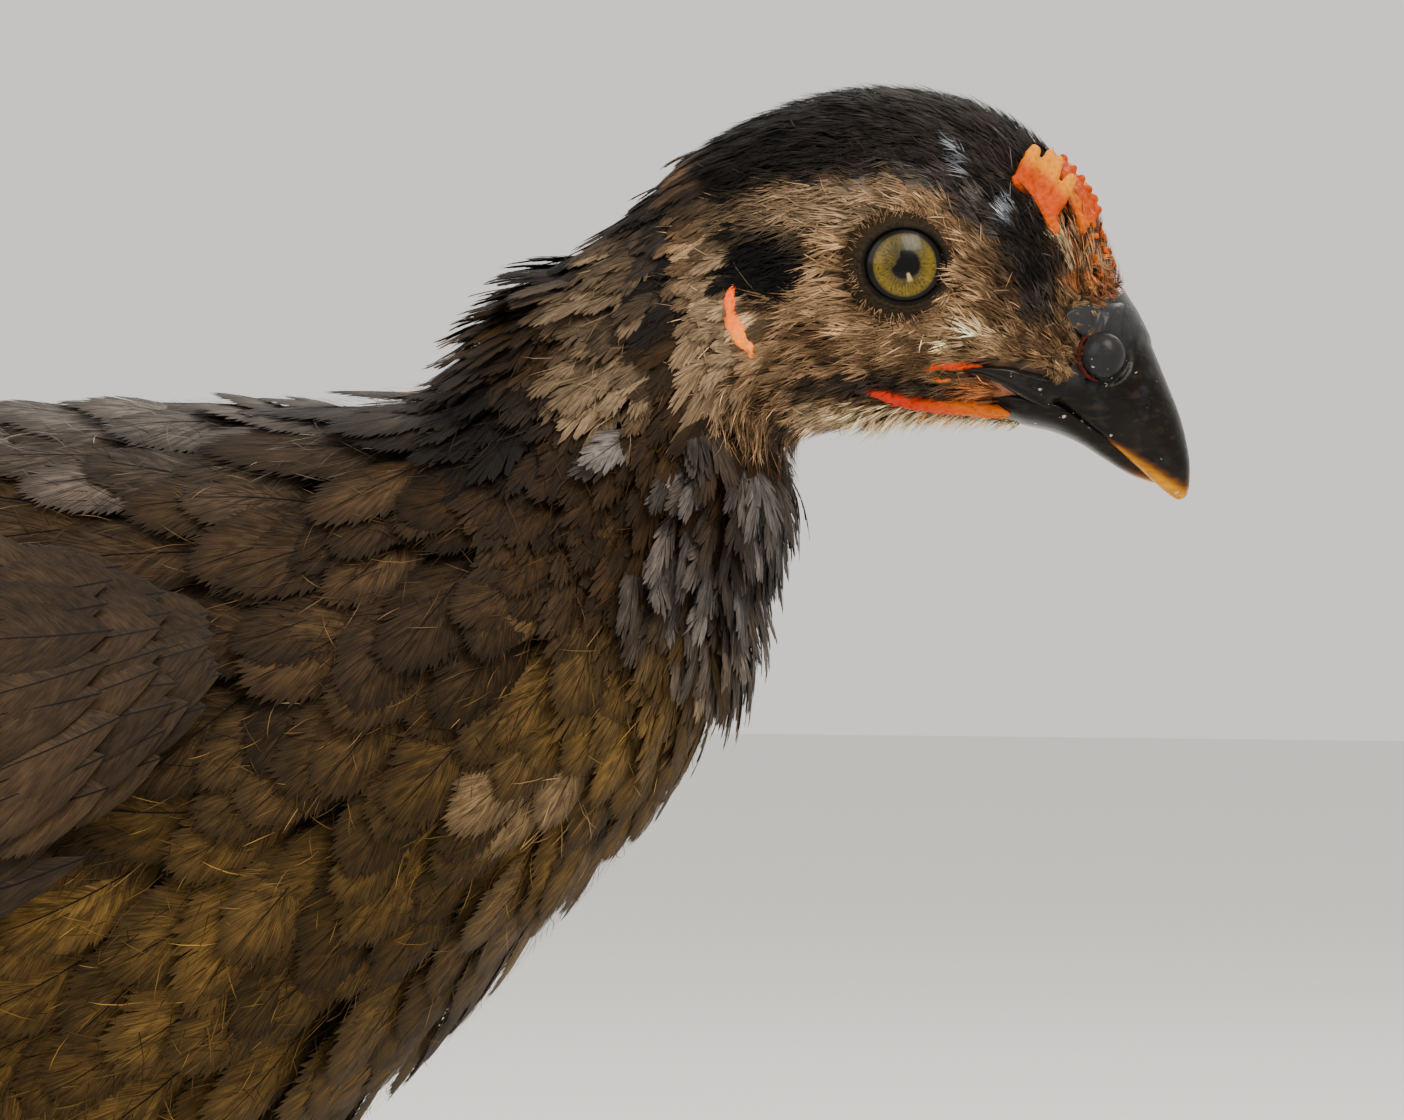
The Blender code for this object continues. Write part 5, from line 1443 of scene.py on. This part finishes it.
def lid_filaments(name, side, look):
    """The small pale bristles that edge the lids."""
    centre, axes = eye_axes(side)
    draw = np.random.default_rng(83)
    shape, triangles = strands[0]
    count = 420
    turn = np.sort(draw.uniform(0, 2 * math.pi, count))
    shaggy = 1 + 0.9 * smooth(-0.2, -0.9, np.sin(turn)) + 0.9 * smooth(0.2, 0.8, np.sin(turn - 0.9))
    start, reach = draw.uniform(4.4, 5.5, count), draw.uniform(0.4, 1.0, count) * shaggy
    lean = draw.normal(size=count) * 0.5 - 0.5 * np.sin(turn)
    radial = np.stack([np.cos(turn), np.sin(turn), np.zeros(count)], -1)
    around = np.stack([-np.sin(turn), np.cos(turn), np.zeros(count)], -1)
    heading = unit(radial + around * lean[:, None] + np.array((0, 0, 0.35)))
    wide = unit(np.cross(heading, (0, 0, 1.0)))
    root = radial * start[:, None] + np.array((0, 0, 1)) * np.interp(start, (4.4, 5.5), (4.8, 3.9))[:, None]
    local = (root[:, None] + heading[:, None] * (shape[None, :, 0, None] * reach[:, None, None])
             + wide[:, None] * (shape[None, :, 1, None] * 0.045))
    faces = (triangles[None] + np.arange(count)[:, None, None] * len(shape)).reshape(-1, 3)
    piece = mesh_piece(name, local.reshape(-1, 3) @ axes + centre, faces, look, slot="head_plumage")
    tint = np.where(draw.uniform(size=(count, 1)) < 0.5, FACE_BEIGE * 0.9, FACE_BROWN * 0.6)
    vanes = np.stack([np.full(count * len(shape), 0.3), np.tile(shape[:, 4], count),
                      np.repeat(draw.uniform(size=count), len(shape))], -1)
    spots = (0.85, 0.7 if side == RIGHT else 0.3) + np.tile(shape[:, :2], (count, 1)) * BAKE_PATCH
    shares = np.tile(0.4 + 0.6 * shape[:, 0], count)
    add_feather_marks(piece, np.repeat(tint, len(shape), axis=0), vanes, shares, spots)


def fleshy(name, blobs, look, hue, voxel, grain, seed, replaced=None):
    """A soft lump of bare skin, from balls that run into one another."""
    builder = bmesh.new()
    for centre, radii in blobs:
        shape = Matrix.Translation(Vector(centre)) @ Matrix.Diagonal((*radii, 1.0))
        bmesh.ops.create_icosphere(builder, subdivisions=3, radius=1.0, matrix=shape)
    mesh = bpy.data.meshes.new(name)
    builder.to_mesh(mesh)
    builder.free()
    piece = bpy.data.objects.new(name, mesh)
    bpy.context.scene.collection.objects.link(piece)
    remesh = piece.modifiers.new("remesh", "REMESH")
    remesh.mode, remesh.voxel_size = "VOXEL", voxel
    smoother = piece.modifiers.new("smooth", "SMOOTH")
    smoother.iterations, smoother.factor = 4, 0.5
    apply_modifiers(piece)
    merged = piece.data
    places = np.array([v.co for v in merged.vertices])
    normals = np.array([v.normal for v in merged.vertices])
    rough = wobble(places, 1.1, seed) + 0.6 * wobble(places, 0.55, seed + 1)
    places = places + normals * (rough * grain)[:, None]
    merged.vertices.foreach_set("co", to_world(places).astype(np.float32).ravel())
    merged.update()
    merged.shade_smooth()
    merged.materials.clear()
    merged.materials.append(look)
    add_attribute(piece, "hue", hue(places))
    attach(piece, "root")
    if replaced:
        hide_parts(replaced)
    return piece


def forehead(u, y, lift):
    """A place over the forehead, y out from its middle."""
    row = rows_at(TRUNK, np.array([u]))[0]
    return trunk_spot(u, -math.asin(max(-1.0, min(1.0, y / row[4]))), lift)


# The comb's side rows, from the back: each lobe's base and tip in profile, and its radius.
COMB_LOBES = (
    ((105.5, 218.2), (106.0, 220.7), 0.88),
    ((106.8, 218.0), (107.3, 220.4), 0.70),
    ((107.7, 216.7), (108.0, 219.7), 0.82),
    ((108.5, 215.1), (109.3, 217.9), 0.84),
)
COMB_FOOT = ((105.1, 218.4), (105.8, 217.8), (106.8, 217.1), (107.6, 216.0), (108.4, 214.7), (109.0, 213.5))
COMB_EDGE = ((104.0, 106.0, 108.0, 110.0, 113.0), (219.8, 218.6, 216.8, 215.0, 212.0))
COMB_HEIGHT = {RIGHT: 1.0, LEFT: 0.85}
SMALL_BEADS = 46


def build_comb(look):
    """The young pea comb: a row of lobes on each side of the forehead, and small beads in front of them."""
    blobs = []
    draw = np.random.default_rng(91)
    for side in SIDES.values():
        lines = []
        for base, tip, size in COMB_LOBES:
            low, high = side_spot(*base, side, -0.1), side_spot(*tip, side, 1.0)
            bow = side_spot(*between(base, tip, 0.5), side, 0.8)
            lines.append([])
            for share in np.linspace(0, COMB_HEIGHT[side], 14):
                place = (1 - share) ** 2 * low + 2 * share * (1 - share) * bow + share ** 2 * high
                radius = size * (0.88 + 0.16 * math.sin(math.pi * share) - 0.14 * share)
                blobs.append((place, (radius, 0.9 * radius, radius)))
                lines[-1].append(place)
        # The lobes join low down.
        for here, there in zip(lines[:-1], lines[1:]):
            blobs += [((here[k] + there[k]) / 2, (0.66, 0.5, 0.66)) for k in range(8)]
        for x, z in along_path(COMB_FOOT, 22):
            blobs.append((side_spot(x, z, side, -0.15), (draw.uniform(0.5, 0.68),) * 3))
    for u in np.linspace(21.75, 22.55, 10):
        half = float(np.interp(u, (21.75, 22.0, 22.55), (2.0, 4.2, 4.4)))
        for y in np.linspace(-half, half, 11):
            blobs.append((forehead(u, y, draw.uniform(-0.35, -0.05)), (0.5,) * 3))
    for u in np.linspace(21.7, 22.5, 6):
        blobs.append((forehead(u, draw.uniform(-0.3, 0.3), 0.35), (draw.uniform(0.45, 0.6),) * 3))
    for _ in range(SMALL_BEADS):
        u, y = draw.uniform(22.3, 23.4), draw.uniform(-4.2, 4.2)
        blobs.append((forehead(u, y, -0.1), (draw.uniform(0.22, 0.4),) * 3))

    def hue(places):
        foot = np.interp(places[:, 0], *COMB_EDGE)
        amber = smooth(0.4, 3.4, places[:, 2] - foot) * smooth(2.8, 4.2, np.abs(places[:, 1]))
        return amber + 0.3 * (1 - smooth(214.0, 216.0, places[:, 2]))

    fleshy("comb_beads", blobs, look, hue, 0.15, 0.03, 92, "comb")


# The mouth's bare folds in profile: x, z, radius. The lower one is reddest at its back.
GAPE_LOWER = ((90.3, 197.4, 0.3), (91.8, 197.1, 0.72), (94.5, 196.3, 0.85), (97.5, 195.8, 0.80),
              (100.6, 195.4, 0.70), (102.6, 195.1, 0.5), (103.8, 194.8, 0.3))
GAPE_UPPER = ((96.3, 199.5, 0.28), (97.6, 199.8, 0.45), (99.2, 199.95, 0.5), (100.8, 199.9, 0.42),
              (101.9, 199.8, 0.25))
# The small bead over the mouth's corner, in profile.
CORNER = (97.8, 198.7)
# The ear lobe: x, z, half its width and its depth. The wattle's fold: u, angle in half turns, radius.
LOBE = ((77.8, 208.4, 0.4, 0.3), (77.5, 206.8, 0.9, 0.8), (77.5, 205.0, 1.3, 1.2), (78.4, 203.0, 1.4, 1.3),
        (79.4, 201.2, 0.8, 0.7))
WATTLE = ((21.5, 0.85, 0.5), (20.8, 0.853, 0.8), (20.0, 0.855, 0.95), (19.2, 0.85, 0.8), (18.4, 0.84, 0.45))


def build_folds(side_name, side, gape_look, lobe_look):
    """The bare folds at the corner of the mouth, the ear lobe and the wattle's first fold."""
    def paler_ahead(places):
        return smooth(91.5, 103.0, places[:, 0])

    def paler_at_corner(places):
        return spot(places[:, 0], places[:, 2], CORNER, (1.2, 0.7), 0.5) * 1.4 + 0.3

    def paler_below(places):
        return 1 - smooth(201.0, 208.0, places[:, 2])

    lower, upper = ([(side_spot(x, z, side, -0.2), (size,) * 3) for x, z, size in along_path(path, 26)]
                    for path in (GAPE_LOWER, GAPE_UPPER))
    upper += [(side_spot(x, CORNER[1], side, 0.02), (0.34 - 0.1 * abs(x - CORNER[0]),) * 3)
              for x in np.linspace(CORNER[0] - 0.9, CORNER[0] + 0.9, 11)]
    lobe = [(side_spot(x, z, side, -0.25), (0.62 * half, 0.45 * depth + 0.3, 0.8 * half))
            for x, z, half, depth in along_path(LOBE, 14)]
    wattle = [(trunk_spot(u, angle * math.pi, 0.1) * (1, -side, 1), (size, 0.8 * size, 0.9 * size))
              for u, angle, size in along_path(WATTLE, 16)]
    for name, blobs, look, hue, voxel, grain, seed, replaced in (
        ("gape_lower_", lower, gape_look, paler_ahead, 0.18, 0.06, 95, None),
        ("gape_upper_", upper, gape_look, paler_at_corner, 0.18, 0.06, 95, None),
        ("lobe_", lobe, lobe_look, paler_below, 0.2, 0.12, 96, "ear_lobe_" + side_name),
        ("fold_", wattle, gape_look, paler_ahead, 0.2, 0.06, 97, "wattle_" + side_name),
    ):
        fleshy(name + side_name, blobs, look, hue, voxel, grain, seed, replaced)


def build_nostril(side_name, side, horn, lining):
    """The rounded flap over the nostril, and the reddish slit behind it."""
    def plain(places):
        return np.zeros(len(places))

    centre = NOSTRIL * (1, side, 1)
    flap = fleshy("nostril_" + side_name, [(centre, (2.2, 1.85, 2.4))], horn, plain, 0.13, 0.0, 98)
    count = len(flap.data.vertices)
    add_attribute(flap, "amber", np.zeros(count))
    add_attribute(flap, "slate", np.full(count, 0.75))
    blobs = []
    for turn in np.radians(np.linspace(118, 262, 22)):
        thin = 0.26 * math.sin(math.pi * (math.degrees(turn) - 110) / 160)
        place = centre + (2.3 * math.cos(turn), 0, 2.55 * math.sin(turn))
        place[1] = side_spot(min(place[0], 112.2), place[2], side, 0.12)[1]
        blobs.append((place, (thin + 0.08,) * 3))
    fleshy("nostril_slit_" + side_name, blobs, lining, plain, 0.1, 0.0, 99)


BILL_RINGS, BILL_SIDES = 110, 120


def bill_half(name, rows, look, replaced, tip_from, edge_low, square):
    """One half of the bill, with the amber of its cutting edge and tip as an attribute."""
    u = np.linspace(-0.25, len(rows) - 1, BILL_RINGS)
    uu, aa = grid_of(u, np.linspace(-math.pi, math.pi, BILL_SIDES, endpoint=False))
    points = section(rows, uu, aa, 2.2, square)
    x, y, z = points[:, 0], np.abs(points[:, 1]), points[:, 2]
    if replaced == "bill_upper":
        along, around = slopes(lambda a, b: section(rows, a, b, 2.2, square), uu, aa, 0.02)
        ring = np.hypot((x - NOSTRIL[0]) / 2.25, (z - NOSTRIL[2]) / 2.5)
        dent = np.exp(-((ring - 1.05) / 0.14) ** 2)
        cere = (1 - smooth(0.9, 1.2, uu + 0.08 * np.sin(5 * aa))) * smooth(196, 199, z)
        lift = 0.25 * cere * smooth(-0.3, 0.4, uu) - 0.5 * dent * smooth(1.5, 3.0, y)
        points = points + unit(np.cross(around, along)) * lift[:, None]
    piece = mesh_piece(name, *capped(points, BILL_RINGS, BILL_SIDES), look, slot="horn")
    over = z - np.interp(x, *edge_low)
    amber = 1 - smooth(0.0, 1.0, over / np.interp(x, (110, 114, 118, 121), (0.7, 1.3, 2.3, 3.2)))
    amber *= smooth(109.5, 113.0, x)
    amber = np.maximum(amber, smooth(tip_from, len(rows) - 0.9, uu) * 0.9)
    add_attribute(piece, "amber", [*amber, 0, 1])
    slate = (1 - smooth(0.5, 1.4, uu)) * smooth(197.5, 199.5, z)
    add_attribute(piece, "slate", [*slate, 0, 0])
    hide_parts(replaced)


def bill_side(x, z):
    """How far out the upper bill's side is at this x and z in profile."""
    _, row, up = seen_at(BILL_UPPER, np.linspace(0, 4, 300), x, z)
    return row[4] * (1 - min(1.0, abs(up)) ** 3) ** 0.4


def bill_plate(name, side, look, outline, joint, height, slate):
    """Horn that reaches back over the face from the bill, as a low plate between its edges in profile.

    joint is where along x it passes from the face's side to the bill's, and height how far it stands out.
    """
    stations, columns = along_path(outline, 56), 16
    points = []
    for x, high, low in stations:
        for share in np.linspace(0, 1, columns):
            z = high + (low - high) * share
            dome = math.sqrt(max(0.0, 1 - (2 * share - 1) ** 4))
            groove = 0.22 * math.exp(-((share - 0.62) / 0.09) ** 2) * (slate == 0)
            back = side_spot(min(x, joint[0] + 1.0), z, side)
            out = abs(back[1]) + (-0.9 + height * dome - groove)
            if x > joint[0]:
                sunk = 0.8 * float(smooth(joint[1] + 1.0, joint[1] + 3.5, x))
                front = bill_side(x, z) + 0.5 * dome - 0.3 - sunk - groove
                out += (front - out) * float(smooth(*joint, x))
            points.append((x, side * out, z))
    faces = facing(grid_faces(len(stations), columns), -side)
    piece = mesh_piece(name, np.array(points), faces, look, slot="horn")
    add_attribute(piece, "amber", np.zeros(len(points)))
    add_attribute(piece, "slate", np.full(len(points), slate))


# Floor, light and camera

FLOOR_HALF = 3.0
FLOOR_COLOUR = (0.78, 0.77, 0.75, 1)
SKY_COLOUR, SKY_STRENGTH = (0.86, 0.83, 0.79, 1), 1.15
LIGHT_COLOUR = (1.0, 0.96, 0.90)
LIT_PLACE = (80.0, 0.0, 195.0)
# Each light's place from the spot it lights, its size in metres and its power.
LIGHTS = (((0.55, -0.75, 1.0), 0.7, 26.0), ((-0.7, -0.9, 0.6), 0.9, 9.0), ((0.1, 0.9, 0.8), 0.8, 9.0))
AIM = (71.8, 0.0, 180.5)
AZIMUTH, ELEVATION = math.radians(12), math.radians(1.5)
DISTANCE = 0.65
FRAME_WIDTH = 0.1418


def add_aimed(data, place, target):
    """A light or camera at a place, aimed at its target."""
    made = bpy.data.objects.new(data.name, data)
    bpy.context.scene.collection.objects.link(made)
    made.location = place
    made.rotation_euler = (target - place).to_track_quat("-Z", "Y").to_euler()
    return made


def build_stage():
    """A pale floor, a plain sky and three soft lights."""
    corners = [(x * FLOOR_HALF, y * FLOOR_HALF, 0) for x, y in ((-1, -1), (1, -1), (1, 1), (-1, 1))]
    mesh = bpy.data.meshes.new("floor")
    mesh.from_pydata(corners, [], [(0, 1, 2, 3)])
    mesh.materials.append(Material("pale_floor").finish({"Base Color": FLOOR_COLOUR, "Roughness": 0.9}))
    floor = bpy.data.objects.new("floor", mesh)
    bpy.context.scene.collection.objects.link(floor)
    world = bpy.data.worlds.new("studio")
    bpy.context.scene.world = world
    world.use_nodes = True
    sky = world.node_tree.nodes["Background"].inputs
    sky["Color"].default_value, sky["Strength"].default_value = SKY_COLOUR, SKY_STRENGTH
    target = Vector(to_world(LIT_PLACE))
    for place, size, power in LIGHTS:
        data = bpy.data.lights.new("soft", "AREA")
        data.size, data.energy, data.color = size, power, LIGHT_COLOUR
        add_aimed(data, target + Vector(place), target)


def build_camera():
    """The photograph's view, from the bird's right and a little ahead."""
    target = Vector(to_world(AIM))
    level = math.cos(ELEVATION)
    out = Vector((math.sin(AZIMUTH) * level, -math.cos(AZIMUTH) * level, math.sin(ELEVATION)))
    data = bpy.data.cameras.new("camera")
    data.sensor_width = 36.0
    data.lens = data.sensor_width * DISTANCE / FRAME_WIDTH
    data.clip_start = 0.01
    bpy.context.scene.camera = add_aimed(data, target + out * DISTANCE, target)


lobe_skin = bare_skin_material("lobe_skin", (0.86, 0.10, 0.004), (0.90, 0.235, 0.022), 0.45, 0.10, 0.10)
gape_skin = bare_skin_material("gape_skin", (0.44, 0.016, 0.001), (0.50, 0.10, 0.002), 0.5, 0.06, 0.10)
comb_skin = bare_skin_material("comb_skin", (0.41, 0.047, 0.001), (0.60, 0.195, 0.001), 0.42, 0.08, 0.07,
                               grain=0.5)
lid_skin = bare_skin_material("lid_skin", (0.0020, 0.0016, 0.0012), (0.018, 0.0122, 0.0062), 0.6, 0.0, 0.06)
slit_skin = bare_skin_material("nostril_skin", (0.030, 0.002, 0.0005), (0.16, 0.015, 0.002), 0.5, 0.0, 0.1)
eye_look = eye_material()
horn_look = bill_material()

for side_name, side in SIDES.items():
    coat_wing("coat_wing_" + side_name, side)
    coat_thigh("coat_thigh_" + side_name, side)
    build_eye("ball_" + side_name, side, eye_look, lid_skin)
    lid_filaments("lashes_" + side_name, side, tuft_look)
    build_folds(side_name, side, gape_skin, lobe_skin)
    build_nostril(side_name, side, horn_look, slit_skin)
coat_tail()
build_comb(comb_skin)
# The upper bill's edge overlaps the lower bill, most where it is deepest.
overlap = np.outer((1, 1, 1, 1, 1, 0.4, 0), (0, 0, -0.25, -0.75, 0, 0))
bill_half("upper_bill", BILL_UPPER + overlap, horn_look, "bill_upper", 4.1,
          ((109, 112, 115, 118, 121), (195.2, 192.9, 191.3, 188.9, 186.3)), 3.6)
bill_half("lower_bill", BILL_LOWER + (0, 0.75, 0, 0.3, 0, 0), horn_look, "bill_lower", 5.5,
          ((107, 110, 113, 116, 119), (192.8, 191.4, 189.8, 188.3, 187.4)), 2.2)
for side_name, side in SIDES.items():
    bill_plate("bill_wedge_" + side_name, side, horn_look, WEDGE, (108.0, 111.5), 1.55, 0.0)
    bill_plate("bill_hood_" + side_name, side, horn_look, HOOD, (112.2, 114.0), 1.3, 1.0)

leg_look, claw_look = leg_material(), claw_material()
for name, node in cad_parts.items():
    if name.startswith(("shank", "foot", "claw")):
        node.data.materials.clear()
        node.data.materials.append(claw_look if name.startswith("claw") else leg_look)

build_stage()
build_camera()
